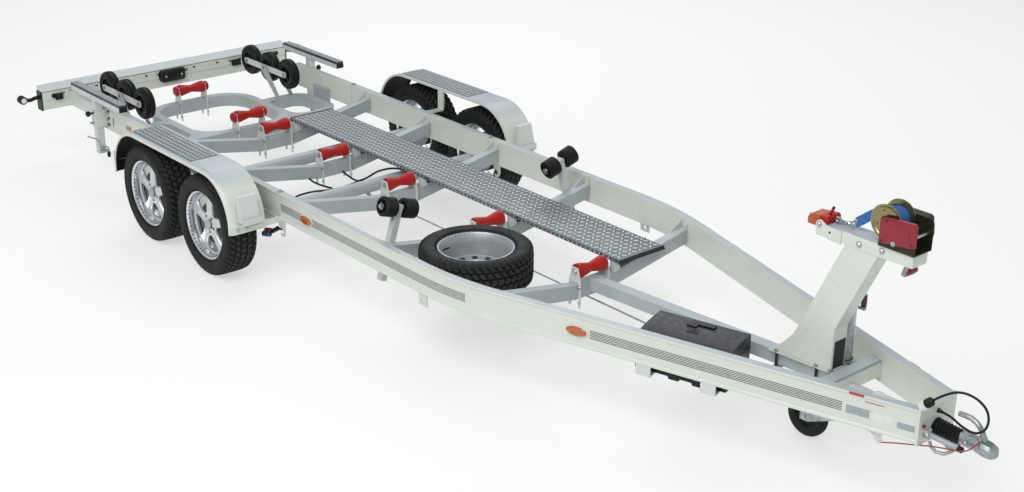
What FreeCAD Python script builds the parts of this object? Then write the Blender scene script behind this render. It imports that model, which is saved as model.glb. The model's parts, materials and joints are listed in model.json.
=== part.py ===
import FreeCAD, Part
import math
import os
import re
import Sketcher

# Boat trailer, tandem axle, with keel rollers, slip wheels and a bow winch.
# X runs forward to the coupling, Y to the left-hand side, Z up. The origin lies on the
# ground in the middle of the trailer's length and width. Sizes are in millimetres.
# A place along the trailer is a station: its distance forward of the axles' midpoint.

DOC = FreeCAD.newDocument("BoatTrailer")
DIM = DOC.addObject("Spreadsheet::Sheet", "Dim")

SIZES = (
    ("axle_mid", -1386.5, "axles' midpoint, from the origin"),
    ("wheelbase", 704.0, "front axle to rear axle"),
    ("tyre_radius", 313.5, "road tyre, outside"),
    ("tyre_wide", 204.0, "road tyre, across its sidewalls"),
    ("tyre_bead", 203.0, "road tyre, inner radius on the rim"),
    ("tyre_shoulder", 92.0, "road tyre, half width of the tread"),
    ("wheel_clear", 115.0, "road tyre's inner side from the rail"),
    ("rim_lip", 210.0, "road wheel, lip radius"),
    ("rim_wide", 176.0, "road wheel, across its lips"),
    ("rim_wall", 7.0, "road wheel, wall of its barrel"),
    ("disc_out", 52.0, "road wheel, disc's outer face from the wheel's middle"),
    ("disc_thick", 17.0, "road wheel, thickness of the disc"),
    ("hub_radius", 62.0, "road wheel, solid middle of the disc"),
    ("hub_bore", 30.0, "road wheel, centre bore"),
    ("spokes", 5.0, "road wheel, number of spokes"),
    ("drum_radius", 128.0, "brake drum"),
    ("drum_deep", 88.0, "brake drum, along its axis"),
    ("stub_radius", 29.94, "spindle nose, in the wheel's bore"),
    ("axle_radius", 42.0, "axle tube"),
    ("axle_lead", 130.0, "axle tube ahead of the wheel centre"),
    ("arm_clear", 72.0, "axle tube's end beyond the rail"),
    ("arm_thick", 36.0, "trailing arm, across"),
    ("arm_high", 84.0, "trailing arm, height"),
    ("rail_outer", 830.0, "rail's outer face, from the centre line"),
    ("rail_wide", 45.0, "rail, across"),
    ("rail_high", 165.0, "rail, height"),
    ("rail_bottom", 386.0, "rail's lower edge above the ground"),
    ("rail_rear", -1620.0, "rail's rear end, station"),
    ("rail_bend", 2349.0, "where the rail's straight parts would meet, station"),
    ("rail_front", 4685.0, "rail's front end, station"),
    ("rail_nose", 134.94, "rail's outer face at its front end, from the centre line"),
    ("rail_radius", 1850.0, "rail's bend, radius of the outer face"),
    ("lip_high", 12.0, "rail's top and bottom lips, height"),
    ("lip_deep", 5.0, "rail's outer face, set back between its lips"),
    ("member_wide", 60.0, "cross member, along the trailer"),
    ("member_high", 85.0, "cross member, height"),
    ("member_top", 388.0, "cross member's top at its middle"),
    ("member_rise", 117.0, "rise of a cross member's arm"),
    ("member_flat", 130.0, "half width of a cross member's level middle"),
    ("weld_reach", 12.0, "how far a member is drawn into the rail before it is trimmed"),
    ("roller_three", -655.0, "third keel roller, station"),
    ("roller_four", 51.0, "fourth"),
    ("roller_five", 774.0, "fifth"),
    ("roller_six", 1634.0, "sixth"),
    ("roller_seven", 2498.0, "seventh"),
    ("roller_axle", 452.0, "keel roller's axis above the ground"),
    ("roller_long", 200.0, "keel roller, length"),
    ("roller_radius", 42.0, "keel roller at its ends"),
    ("roller_waist", 27.0, "keel roller at its middle"),
    ("roller_pin", 9.0, "keel roller's pin, radius"),
    ("pin_gap", 0.06, "running clearance round a pin"),
    ("side_gap", 4.0, "gap beside a roller or wheel"),
    ("plate", 6.0, "bracket plate"),
    ("bracket_wide", 92.0, "keel roller's bracket, along the trailer"),
    ("bracket_over", 26.0, "bracket above the roller's pin"),
    ("bracket_under", 52.0, "bracket below the cross member"),
    ("cradle_top", 365.0, "rear keel cradle, top"),
    ("cradle_tube", 60.0, "rear keel cradle, tube across"),
    ("cradle_high", 85.0, "rear keel cradle, tube height"),
    ("cradle_rear", -1844.0, "cradle's rear edge, station"),
    ("cradle_front", -969.0, "cradle's front edge, station"),
    ("cradle_half", 410.0, "inner loop, half width"),
    ("cradle_bend", 250.0, "inner loop, corner radius"),
    ("wing_rear", -1495.0, "outer loops, rear edge, station"),
    ("hanger_wide", 20.0, "cradle hanger, from the outer loop to the rail"),
    ("wing_bend", 150.0, "outer loops, corner radius"),
    ("hanger_long", 200.0, "cradle hanger under the rail"),
    ("hanger_up", 90.0, "cradle hanger above the cradle"),
    ("slip_mid", -1650.0, "slip wheels' rocker pivot, station"),
    ("slip_pitch", 258.0, "slip wheel to slip wheel"),
    ("slip_y", 588.0, "slip wheels from the centre line"),
    ("slip_axle", 552.0, "slip wheels' axis above the ground"),
    ("slip_radius", 112.0, "slip wheel"),
    ("slip_wide", 74.0, "slip wheel, across"),
    ("slip_rim", 66.0, "slip wheel, rim radius"),
    ("slip_pin", 10.0, "slip wheel's axle, radius"),
    ("rocker_high", 44.0, "rocker bar, height"),
    ("rocker_end", 30.0, "rocker bar beyond its end wheels' axles"),
    ("stand_gap", 8.0, "rocker bar to its stand"),
    ("guide_y", 601.0, "guide rollers' middle from the centre line"),
    ("guide_z", 667.0, "guide rollers' middle above the ground"),
    ("guide_tilt", 17.0, "guide post's lean, degrees"),
    ("guide_radius", 56.0, "guide roller"),
    ("guide_wide", 84.0, "guide roller, across"),
    ("guide_gap", 58.0, "between the two guide rollers"),
    ("guide_post", 40.0, "guide post, square"),
    ("guide_down", 420.0, "guide post's foot below its rollers"),
    ("guide_pin", 12.0, "guide rollers' axle, radius"),
    ("support_x", -1535.0, "side support's post, station"),
    ("support_gap", 44.0, "side support's middle beyond the rail"),
    ("support_foot", 215.0, "side support's foot above the ground"),
    ("support_post", 50.0, "side support's post, square"),
    ("sleeve_wall", 7.0, "side support's sleeve, wall"),
    ("sleeve_high", 120.0, "side support's sleeve, height"),
    ("sleeve_z", 405.0, "side support's sleeve, lower end"),
    ("slide_gap", 0.4, "clearance round a sliding tube"),
    ("pad_rear", -1866.0, "side support's bar, rear end, station"),
    ("pad_front", -1138.0, "side support's bar, front end, station"),
    ("pad_wide", 60.0, "side support's bar, across"),
    ("pad_high", 36.0, "side support's bar, without its rubber"),
    ("pad_top", 652.0, "top of the side support's rubber"),
    ("pad_rubber", 16.0, "side support's rubber, thickness"),
    ("light_rear", -2185.0, "light beam's rear face, station"),
    ("light_deep", 70.0, "light beam, along the trailer"),
    ("light_half", 1020.0, "light beam, half length"),
    ("light_bottom", 405.0, "light beam's lower edge"),
    ("light_rear_top", 578.0, "light beam's rear upper edge"),
    ("light_front_top", 545.0, "light beam's front upper edge"),
    ("arm_wide", 33.0, "pull-out arm, across"),
    ("arm_tall", 100.0, "pull-out arm, height"),
    ("arm_in", 540.0, "pull-out arm inside the rail"),
    ("arm_spare", 40.0, "rail's bore beyond the arm's end"),
    ("lamp_wide", 240.0, "tail lamp, across"),
    ("lamp_high", 130.0, "tail lamp, height"),
    ("lamp_deep", 42.0, "tail lamp, depth"),
    ("lamp_up", 20.0, "tail lamp above the light beam's lower edge"),
    ("board_wide", 520.0, "plate board, across"),
    ("board_high", 110.0, "plate board, height"),
    ("board_thick", 4.0, "plate board, thickness"),
    ("stalk_reach", 130.0, "side marker lamp beyond the light beam"),
    ("stalk_z", 500.0, "side marker lamp above the ground"),
    ("stalk_radius", 12.0, "side marker lamp's rubber arm, radius"),
    ("stalk_lamp", 30.0, "side marker lamp, radius"),
    ("walk_rear", -685.0, "walkway's rear end, station"),
    ("walk_front", 2580.0, "walkway's front end, station"),
    ("walk_low", 147.0, "walkway's inner edge from the centre line"),
    ("walk_wide", 337.0, "walkway, across"),
    ("walk_top", 475.0, "walkway above the ground"),
    ("walk_lip", 22.0, "walkway's folded edge"),
    ("walk_sheet", 3.0, "walkway's sheet"),
    ("walk_foot", 40.0, "walkway's foot, along and across"),
    ("fender_rear", -730.0, "fender's rear end, station"),
    ("fender_front", 722.0, "fender's front end, station"),
    ("fender_gap", 105.0, "fender's inner edge from the rail"),
    ("fender_wide", 233.0, "fender, across"),
    ("fender_top", 694.0, "fender's top"),
    ("fender_low", 366.0, "fender's lower ends"),
    ("fender_bend", 290.0, "fender's corner radius"),
    ("fender_sheet", 4.0, "fender's sheet"),
    ("fender_lip", 26.0, "fender's folded outer edge"),
    ("stay_low", 440.0, "fender's stay, lower edge"),
    ("stay_high", 60.0, "fender's stay, height"),
    ("beam_wide", 70.0, "centre beam, across"),
    ("beam_high", 70.0, "centre beam, height"),
    ("beam_rear_top", 405.0, "centre beam's top at its rear end"),
    ("beam_front_top", 490.0, "centre beam's top at its front end"),
    ("bridge_rear", 4170.0, "front cross member's rear face, station"),
    ("bridge_long", 60.0, "front cross member, along the trailer"),
    ("bridge_high", 80.0, "front cross member, height"),
    ("post_rear", 3810.0, "winch post's foot, rear end, station"),
    ("post_front", 4150.0, "winch post's foot, front end, station"),
    ("post_heel", 3925.0, "winch post, where its rear edge starts to lean"),
    ("post_heel_z", 605.0, "height of that place"),
    ("post_knee_z", 705.0, "height where its front edge starts to lean"),
    ("post_head_rear", 4160.0, "winch post's head, rear edge, station"),
    ("post_head_front", 4338.0, "winch post's head, front edge, station"),
    ("post_wide", 100.0, "winch post, across"),
    ("flange_wide", 116.0, "winch post's foot flange, across"),
    ("flange_over", 20.0, "winch post's foot flange beyond its foot"),
    ("flange_thick", 8.0, "winch post's foot flange, thickness"),
    ("arm_rear", 4000.0, "winch arm's rear end, station"),
    ("arm_front", 4515.0, "winch arm's front end, station"),
    ("arm_bottom", 1128.0, "winch arm's lower edge"),
    ("arm_deep", 58.0, "winch arm, height"),
    ("arm_across", 104.0, "winch arm, across"),
    ("winch_x", 4360.0, "winch drum's axis, station"),
    ("winch_z", 1296.0, "winch drum's axis above the ground"),
    ("winch_side", 5.0, "winch side plate"),
    ("winch_half", 58.0, "winch side plates, half the distance"),
    ("winch_long", 186.0, "winch side plate, along the trailer"),
    ("winch_behind", 22.0, "winch side plate behind the drum's axis"),
    ("cover_long", 130.0, "winch gear cover, along the trailer"),
    ("winch_high", 142.0, "winch side plate, height"),
    ("drum_flange", 80.0, "winch drum's flange, radius"),
    ("drum_core", 52.0, "winch drum with its strap, radius"),
    ("drum_half", 50.0, "winch drum, half length"),
    ("drum_pin", 12.0, "winch drum's pin, radius"),
    ("crank_x", 4424.0, "winch crank's axis, station"),
    ("crank_z", 1222.0, "winch crank's axis above the ground"),
    ("crank_long", 225.0, "winch crank, length"),
    ("crank_lean", 196.0, "winch crank's direction, degrees from straight up"),
    ("crank_out", 118.0, "winch crank's side of the post"),
    ("crank_wide", 22.0, "winch crank's arm, across"),
    ("crank_thick", 8.0, "winch crank's arm, thickness"),
    ("crank_end", 10.0, "winch crank's arm beyond its grip"),
    ("shaft_over", 22.0, "winch crank's shaft beyond the near side plate"),
    ("grip_long", 86.0, "winch crank's grip, length"),
    ("grip_radius", 14.0, "winch crank's grip, radius"),
    ("stop_rear", 3945.0, "bow stop's rear end, station"),
    ("stop_front", 4100.0, "bow stop's front end on the winch arm, station"),
    ("stop_low", 1168.0, "bow stop's underside behind the arm"),
    ("stop_high", 54.0, "bow stop, height of its rear face"),
    ("stop_rise", 14.0, "bow stop's top, rise to its front end"),
    ("stop_lean", 12.0, "bow stop's rear face, lean"),
    ("stop_half", 46.0, "bow stop, half width"),
    ("stop_notch", 40.0, "bow stop's V, depth"),
    ("jockey_x", 4098.0, "jockey wheel's tube, station"),
    ("jockey_y", 130.0, "jockey wheel's tube from the centre line"),
    ("jockey_outer", 30.0, "jockey wheel's outer tube, radius"),
    ("jockey_bore", 25.0, "jockey wheel's outer tube, bore radius"),
    ("jockey_low", 410.0, "jockey wheel's outer tube, lower end"),
    ("jockey_high", 760.0, "jockey wheel's outer tube, upper end"),
    ("jockey_spare", 80.0, "jockey wheel's inner tube below the outer tube's top"),
    ("jockey_trail", 180.0, "jockey wheel's axle behind its tube"),
    ("crank_back", 10.0, "jockey wheel's crank behind its tube's axis"),
    ("knob_reach", 70.0, "jockey wheel's crank, from the tube's axis to its grip"),
    ("knob_wide", 14.0, "jockey wheel's crank, width"),
    ("knob_thick", 10.0, "jockey wheel's crank, thickness"),
    ("knob_radius", 11.0, "jockey wheel's grip, radius"),
    ("knob_long", 70.0, "jockey wheel's grip, length"),
    ("ring_wall", 6.0, "jockey wheel's bracket round its tube"),
    ("ring_in", 10.0, "jockey wheel's bracket inside the cross member's height"),
    ("stem_long", 80.0, "jockey fork's stem above its crown"),
    ("stem_over", 10.0, "jockey leg's bore beyond the stem"),
    ("crown_half", 35.0, "jockey fork's crown, half length"),
    ("fork_eye", 22.0, "jockey fork's plates round the axle"),
    ("jockey_radius", 115.0, "jockey wheel"),
    ("jockey_wide", 52.0, "jockey wheel, across"),
    ("jockey_rim", 62.0, "jockey wheel's rim, radius"),
    ("jockey_pin", 8.0, "jockey wheel's axle, radius"),
    ("fork_z", 180.0, "jockey wheel's fork, underside of its crown"),
    ("fork_crown", 22.0, "jockey wheel's fork, crown thickness"),
    ("head_z", 430.0, "coupling's axis above the ground"),
    ("head_tip", 5000.0, "coupling's front end, station"),
    ("head_rear", 4828.0, "coupling head's rear end, station"),
    ("nose_low", 376.0, "front plate's lower edge"),
    ("nose_high", 181.0, "front plate, height"),
    ("tab_wide", 45.0, "front plate's tab for the plug holder, across"),
    ("tab_high", 31.0, "that tab, height"),
    ("draw_tube", 30.0, "draw tube, radius"),
    ("draw_rear", 4300.0, "draw tube's rear end, station"),
    ("bellows_radius", 47.0, "bellows, radius"),
    ("ball_radius", 26.0, "socket for the tow ball, radius"),
    ("cup_wall", 12.0, "coupling's cup, wall"),
    ("cup_high", 48.0, "coupling's cup, height"),
    ("cup_deep", 36.0, "coupling's socket, depth"),
    ("neck_wide", 58.0, "coupling's neck, width"),
    ("neck_low", 20.0, "coupling's neck below its axis"),
    ("neck_over", 32.0, "coupling's neck above its axis"),
    ("handle_wide", 24.0, "coupling's handle, width"),
    ("handle_bar", 20.0, "coupling's handle, thickness"),
    ("handle_foot", 20.0, "coupling's handle, foot behind the cup's axis"),
    ("handle_root", 24.0, "coupling's handle, foot above the axis"),
    ("handle_knee", 28.0, "coupling's handle, upright part behind its foot"),
    ("handle_rise", 60.0, "coupling's handle, upright part's height"),
    ("handle_lean", 48.0, "coupling's handle, leaning part's length"),
    ("handle_top", 120.0, "coupling's handle, top above the axis"),
    ("handle_long", 72.0, "coupling's handle, level part"),
    ("spare_x", 2055.0, "spare wheel's middle, station"),
    ("spare_y", -430.0, "spare wheel's middle from the centre line"),
    ("spare_z", 352.0, "spare wheel's lower side"),
    ("carrier_wide", 60.0, "spare wheel's carrier, across"),
    ("stud_radius", 10.0, "spare wheel's stud, radius"),
    ("stud_over", 40.0, "spare wheel's stud above its disc"),
    ("clamp_radius", 48.0, "spare wheel's clamp plate, radius"),
    ("clamp_thick", 8.0, "spare wheel's clamp plate, thickness"),
    ("box_rear", 3335.0, "toolbox's rear end along the inner rail face, station"),
    ("box_long", 480.0, "toolbox, length"),
    ("box_deep", 252.0, "toolbox, across"),
    ("box_low", 338.0, "toolbox, underside"),
    ("box_high", 158.0, "toolbox without its lid"),
    ("box_lid", 48.0, "toolbox lid, height"),
    ("box_wall", 4.0, "toolbox, wall"),
    ("box_off", 6.0, "toolbox to the rail"),
    ("box_slit", 0.4, "toolbox to its lid"),
    ("lid_out", 10.0, "lid hinge's axis beyond the toolbox"),
    ("lid_pin", 4.0, "lid hinge's pin, radius"),
    ("knuckle", 8.0, "lid hinge's knuckle, radius"),
    ("knuckle_long", 40.0, "lid hinge's knuckle, length"),
    ("bracket_long", 78.0, "toolbox bracket, along the rail"),
    ("bracket_in", 30.0, "toolbox bracket from the toolbox's end"),
    ("rod_radius", 5.0, "brake rod, radius"),
    ("rod_lug", 24.0, "brake rod's rear lug, along the trailer"),
    ("rod_wide", 14.0, "brake rod's rear lug and link, across"),
    ("rod_link", 8.0, "brake rod's link, height"),
    ("rod_end", 16.0, "brake rod's front lug, along the trailer"),
    ("rod_rear", 540.0, "brake rod's rear end, station"),
    ("rod_z", 294.0, "brake rod's height"),
    ("rod_y", -30.0, "brake rod from the centre line"),
    ("lash_x", 2101.0, "lashing eye, station"),
    ("lash_hole", 12.0, "lashing eye, hole radius"),
    ("eye_long", 70.0, "lashing eye, along the rail"),
    ("eye_thick", 8.0, "lashing eye, plate thickness"),
    ("eye_drop", 62.0, "lashing eye below the rail"),
    ("eye_axis", 36.0, "lashing eye's hole below the rail"),
    ("cable_radius", 5.5, "lighting cable, radius"),
    ("plug_radius", 21.0, "lighting plug, radius"),
    ("plug_long", 41.0, "lighting plug, length outside its holder"),
    ("plug_y", -120.0, "lighting plug from the centre line"),
    ("plug_z", 568.0, "height of the plug holder's foot on the front plate"),
    ("plug_lean", 45.0, "lighting plug's rise, degrees"),
    ("holder_long", 30.0, "plug holder, length"),
)

DERIVED = (
    ("wing_half", "rail_outer - rail_wide - hanger_wide", "outer loops, half width"),
    ("wheel_outer", "rail_outer + wheel_clear + tyre_wide",
     "outer side of the road tyre, from the centre line"),
    ("axle_half", "rail_outer + arm_clear", "axle tube, half length"),
    ("rail_angle", "atan((rail_outer - rail_nose) / (rail_front - rail_bend)) / 1deg",
     "rail's bend, degrees"),
    ("support_y", "rail_outer + support_gap", "side support from the centre line"),
    ("fender_in", "rail_outer + fender_gap", "fender's inner edge from the centre line"),
    ("stalk_out", "light_half + stalk_reach", "side marker lamp from the centre line"),
    ("fender_out", "rail_outer + fender_gap + fender_wide",
     "fender's outer edge from the centre line"),
)
ROWS = [(alias, repr(value), note) for alias, value, note in SIZES]
ROWS += [(alias, "=" + text, note) for alias, text, note in DERIVED]

for row, (alias, value, note) in enumerate(ROWS, start=1):
    DIM.set("A%d" % row, alias)
    DIM.set("B%d" % row, value)
    DIM.set("C%d" % row, note)
    DIM.setAlias("B%d" % row, alias)
DOC.recompute()

NAMES = {alias for alias, value, note in ROWS}
WORD = re.compile(r"[a-z_]+")
FRONT_WHEEL = "axle_mid + wheelbase / 2"
REAR_WHEEL = "axle_mid - wheelbase / 2"
REAR_ROLLER = "axle_mid + cradle_rear + cradle_tube / 2"
FRONT_ROLLER = "axle_mid + cradle_front - cradle_tube / 2"
ROLLERS = ("roller_three", "roller_four", "roller_five", "roller_six", "roller_seven")
AXLE_Z = "rail_bottom - axle_radius"
ARM_Y = "-(rail_outer + lip_deep - rail_wide + rail_outer - 2 * lip_deep) / 2"
ARM_Z = "rail_bottom + (rail_high - arm_tall) / 2"
GUIDE_X = "roller_six - member_wide / 2 - guide_post / 2"
PAD_LOW = "pad_top - pad_rubber - pad_high"
LEG_LOW = "fork_z + fork_crown + slide_gap"
OUTER_WINDOW = "(tyre_bead - rim_wall - 12)"
CABLE = ((4697.0, -10.0, 515.0), (4762.0, -10.0, 515.0), (4830.0, -25.0, 496.0), (4903.0, -38.0, 495.0),
         (4953.0, -42.0, 531.0), (4968.0, -46.0, 592.0), (4948.0, -48.0, 642.0), (4895.0, -57.0, 675.0),
         (4830.0, -78.0, 683.0), (4779.4, -120.0, 656.4))
FACING_X = FreeCAD.Rotation(FreeCAD.Vector(0, 1, 0), 90)
FACING_Y = FreeCAD.Rotation(FreeCAD.Vector(1, 0, 0), -90)
NODES = {}


def bound(text):
    """The text as an expression, with each size's name pointing at the sheet."""
    return WORD.sub(lambda m: "Dim." + m.group(0) if m.group(0) in NAMES else m.group(0), text)


def number(text):
    """The value of an expression, in millimetres or degrees."""
    result = DIM.evalExpression(bound(text))
    return float(getattr(result, "Value", result))


def at(station):
    """A station as a place along X."""
    return "axle_mid + %s" % station


def place(thing, x="0", y="0", z="0", turn=None):
    """Puts an object at a place given by expressions, with a fixed turn."""
    if turn is not None:
        thing.Placement = FreeCAD.Placement(FreeCAD.Vector(0, 0, 0), turn)
    for axis, text in zip("xyz", (x, y, z)):
        thing.setExpression(".Placement.Base." + axis, bound(text))
    return thing


def box(name, long, wide, high, x, y, z, turn=None):
    """A box with its low corner at a place."""
    solid = DOC.addObject("Part::Box", name)
    for size, text in (("Length", long), ("Width", wide), ("Height", high)):
        solid.setExpression(size, bound(text))
    return place(solid, x, y, z, turn)


def cylinder(name, radius, length, x, y, z, turn=None):
    """A cylinder that starts at a place and runs along Z, or as it is turned."""
    solid = DOC.addObject("Part::Cylinder", name)
    solid.setExpression("Radius", bound(radius))
    solid.setExpression("Height", bound(length))
    return place(solid, x, y, z, turn)


def fuse(name, parts):
    """Solids joined to one."""
    joined = DOC.addObject("Part::MultiFuse", name)
    joined.Shapes = parts
    return joined


def cut(name, base, tool):
    """One solid less another."""
    rest = DOC.addObject("Part::Cut", name)
    rest.Base = base
    rest.Tool = tool
    return rest


def group(name, parts):
    """Like solids that don't touch, kept as one."""
    together = DOC.addObject("Part::Compound", name)
    together.Links = parts
    return together


def mirrored(name, source):
    """The left-hand twin of a right-hand piece."""
    twin = DOC.addObject("Part::Mirroring", name)
    twin.Source = source
    twin.Base = FreeCAD.Vector(0, 0, 0)
    twin.Normal = FreeCAD.Vector(0, 1, 0)
    return twin


def node(name, thing):
    """Keeps a finished piece under its own name."""
    thing.Label = name
    NODES[name] = thing
    return thing


def origin_of(body, role):
    """One of a body's own origin planes or axes."""
    return next(item for item in body.Origin.OriginFeatures if item.Role == role)


def outline(body, plane, corners):
    """A closed outline on a body's own plane, its corners held by the sheet."""
    sketch = body.newObject("Sketcher::SketchObject", body.Name + "_outline")
    sketch.AttachmentSupport = [(origin_of(body, plane), "")]
    sketch.MapMode = "FlatFace"
    points = [FreeCAD.Vector(number(a), number(b), 0) for a, b in corners]
    count = len(points)
    for i in range(count):
        sketch.addGeometry(Part.LineSegment(points[i], points[(i + 1) % count]), False)
    for i in range(count):
        sketch.addConstraint(Sketcher.Constraint("Coincident", i, 2, (i + 1) % count, 1))
    for i, (a, b) in enumerate(corners):
        for kind, text, value in (("DistanceX", a, points[i].x), ("DistanceY", b, points[i].y)):
            if abs(value) < 1e-9:
                axis = -2 if kind == "DistanceX" else -1
                sketch.addConstraint(Sketcher.Constraint("PointOnObject", i, 1, axis))
                continue
            index = sketch.addConstraint(Sketcher.Constraint(kind, -1, 1, i, 1, value))
            sketch.setExpression("Constraints[%d]" % index, bound(text))
    return sketch


def new_body(name, x="0", y="0", z="0", turn=None):
    """An empty body at a place."""
    return place(DOC.addObject("PartDesign::Body", name), x, y, z, turn)


def padded(name, plane, corners, length, x="0", y="0", z="0", turn=None):
    """An outline made solid, half its length each side of its plane."""
    body = new_body(name, x, y, z, turn)
    pad = body.newObject("PartDesign::Pad", name + "_pad")
    pad.Profile = outline(body, plane, corners)
    pad.Midplane = True
    pad.setExpression("Length", bound(length))
    return body


def turned(name, corners, x="0", y="0", z="0", turn=None):
    """A solid turned about the Y axis from corners given as across and radius."""
    body = new_body(name, x, y, z, turn)
    revolve = body.newObject("PartDesign::Revolution", name + "_turn")
    sketch = outline(body, "YZ_Plane", corners)
    revolve.Profile = sketch
    revolve.ReferenceAxis = (sketch, ["H_Axis"])
    revolve.Angle = 360
    return body


def rounded(name, source, radius, chosen):
    """A solid with some of its edges rounded; chosen tells which by their shape."""
    DOC.recompute()
    fillet = DOC.addObject("Part::Fillet", name)
    fillet.Base = source
    size = number(radius)
    edges = [i for i, edge in enumerate(source.Shape.Edges, start=1) if chosen(edge)]
    fillet.Edges = [(i, size, size) for i in edges]
    return fillet


def upright(edge):
    """Whether an edge runs straight up."""
    ends = [vertex.Point for vertex in edge.Vertexes]
    return len(ends) == 2 and abs(ends[0].x - ends[1].x) + abs(ends[0].y - ends[1].y) < 1e-6


def rail_sweep():
    """The right-hand rail's lipped profile, swept along its bend and past its front end."""
    body = new_body("rail_sweep", at("rail_rear"), "-rail_outer", "rail_bottom")
    path = body.newObject("Sketcher::SketchObject", "rail_path")
    path.AttachmentSupport = [(origin_of(body, "XY_Plane"), "")]
    path.MapMode = "FlatFace"
    angle = math.radians(number("rail_angle"))
    radius = number("rail_radius")
    straight = "rail_bend - rail_rear - rail_radius * tan(rail_angle * 1deg / 2)"
    rise = "(rail_front - rail_bend + rail_wide) * tan(rail_angle * 1deg)"
    first = number(straight)
    start = FreeCAD.Vector(first, 0, 0)
    end = start + FreeCAD.Vector(radius * math.sin(angle), radius * (1 - math.cos(angle)), 0)
    tip = FreeCAD.Vector(number("rail_front - rail_rear + rail_wide"), number(rise), 0)
    path.addGeometry(Part.LineSegment(FreeCAD.Vector(0, 0, 0), start), False)
    circle = Part.Circle(FreeCAD.Vector(first, radius, 0), FreeCAD.Vector(0, 0, 1), radius)
    path.addGeometry(Part.ArcOfCircle(circle, -math.pi / 2, -math.pi / 2 + angle), False)
    path.addGeometry(Part.LineSegment(end, tip), False)
    path.addConstraint(Sketcher.Constraint("Coincident", 0, 1, -1, 1))
    path.addConstraint(Sketcher.Constraint("Horizontal", 0))
    path.addConstraint(Sketcher.Constraint("Tangent", 0, 2, 1, 1))
    path.addConstraint(Sketcher.Constraint("Tangent", 1, 2, 2, 1))
    for kind, which, value, text in (("Distance", (0,), first, straight),
                                     ("Radius", (1,), radius, "rail_radius"),
                                     ("DistanceX", (-1, 1, 2, 2), tip.x, "rail_front - rail_rear + rail_wide"),
                                     ("DistanceY", (-1, 1, 2, 2), tip.y, rise)):
        index = path.addConstraint(Sketcher.Constraint(kind, *which, value))
        path.setExpression("Constraints[%d]" % index, bound(text))
    profile = outline(body, "YZ_Plane", (
        ("0", "0"), ("rail_wide", "0"), ("rail_wide", "rail_high"), ("0", "rail_high"),
        ("0", "rail_high - lip_high"), ("lip_deep", "rail_high - lip_high - lip_deep"),
        ("lip_deep", "lip_high + lip_deep"), ("0", "lip_high")))
    sweep = body.newObject("PartDesign::AdditivePipe", "rail_pipe")
    sweep.Profile = profile
    sweep.Spine = (path, ["Edge1", "Edge2", "Edge3"])
    return body


def rail():
    """The right-hand rail: swept, cut square in front and bored for its pull-out arm."""
    sweep = rail_sweep()
    end = box("rail_end", "rail_high * 4", "rail_outer * 2", "rail_high * 2",
              at("rail_front"), "-rail_outer", "rail_bottom - rail_high / 2")
    bore = box("rail_bore", "arm_in + arm_spare", "arm_wide + 2 * slide_gap",
               "arm_tall + 2 * slide_gap", at("rail_rear"),
               "%s - arm_wide / 2 - slide_gap" % ARM_Y, "%s - slide_gap" % ARM_Z)
    return cut("rail_bored", cut("rail_cut", sweep, end), bore)


def rail_half(station):
    """The rail's outer face from the centre line at a station."""
    tangent = "rail_radius * tan(rail_angle * 1deg / 2)"
    ahead = "(%s - (rail_bend - %s))" % (station, tangent)
    if number(ahead) <= 0:
        return "rail_outer"
    if number(station) < number("rail_bend + rail_radius * tan(rail_angle * 1deg / 2)"):
        return "(rail_outer - rail_radius + sqrt(rail_radius ^ 2 - %s ^ 2))" % ahead
    return "(rail_outer - (%s - rail_bend) * tan(rail_angle * 1deg))" % station


def arm_top(across):
    """Height of a cross member's top on its arm, at a distance from the centre line."""
    run = "(rail_outer - rail_wide - member_flat)"
    return "member_top + member_rise * (%s - member_flat) / %s" % (across, run)


def cross_member(name, station):
    """A V-shaped cross member, its arms rising to the rails, into which it is drawn."""
    end = "(%s - rail_wide + weld_reach)" % rail_half(station)
    end_top = arm_top(end)
    return padded(name, "YZ_Plane", (
        ("-" + end, end_top + " - member_high"),
        ("-member_flat", "member_top - member_high"),
        ("member_flat", "member_top - member_high"),
        (end, end_top + " - member_high"),
        (end, end_top),
        ("member_flat", "member_top"),
        ("-member_flat", "member_top"),
        ("-" + end, end_top)), "member_wide", at(station))


def keel_bracket(name, station, top, high):
    """Two plates that straddle a member and carry a keel roller on a pin."""
    low = "%s - %s - bracket_under" % (top, high)
    head = "roller_axle + bracket_over"
    corners = (("-bracket_wide / 2", low), ("-bracket_wide / 2", top + " + plate"),
               ("-bracket_wide / 4", head), ("bracket_wide / 4", head),
               ("bracket_wide / 2", top + " + plate"), ("bracket_wide / 2", low),
               ("member_wide / 2", low), ("member_wide / 2", top),
               ("-member_wide / 2", top), ("-member_wide / 2", low))
    plates = [padded(name + "_plate", "XZ_Plane", corners, "plate", station,
                     "%s (roller_long / 2 + side_gap + plate / 2)" % side) for side in ("0 +", "0 -")]
    pin = cylinder(name + "_pin", "roller_pin", "roller_long + 2 * side_gap + 2 * plate", station,
                   "-roller_long / 2 - side_gap - plate", "roller_axle", FACING_Y)
    return fuse(name, plates + [pin])


def keel_roller(name, station):
    """A waisted keel roller, bored for its pin."""
    half = (("roller_long / 2", "roller_pin + pin_gap"), ("roller_long / 2", "roller_radius - 4"),
            ("roller_long / 2 - 4", "roller_radius"), ("roller_long * 0.36", "roller_radius"),
            ("roller_long * 0.1", "roller_waist"))
    return turned(name, both_ways(half), station, "0", "roller_axle")


def both_ways(half):
    """A turned outline from its right-hand half, given from the bore outward."""
    return tuple(half) + tuple(("-(%s)" % a, b) for a, b in reversed(half))


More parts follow.
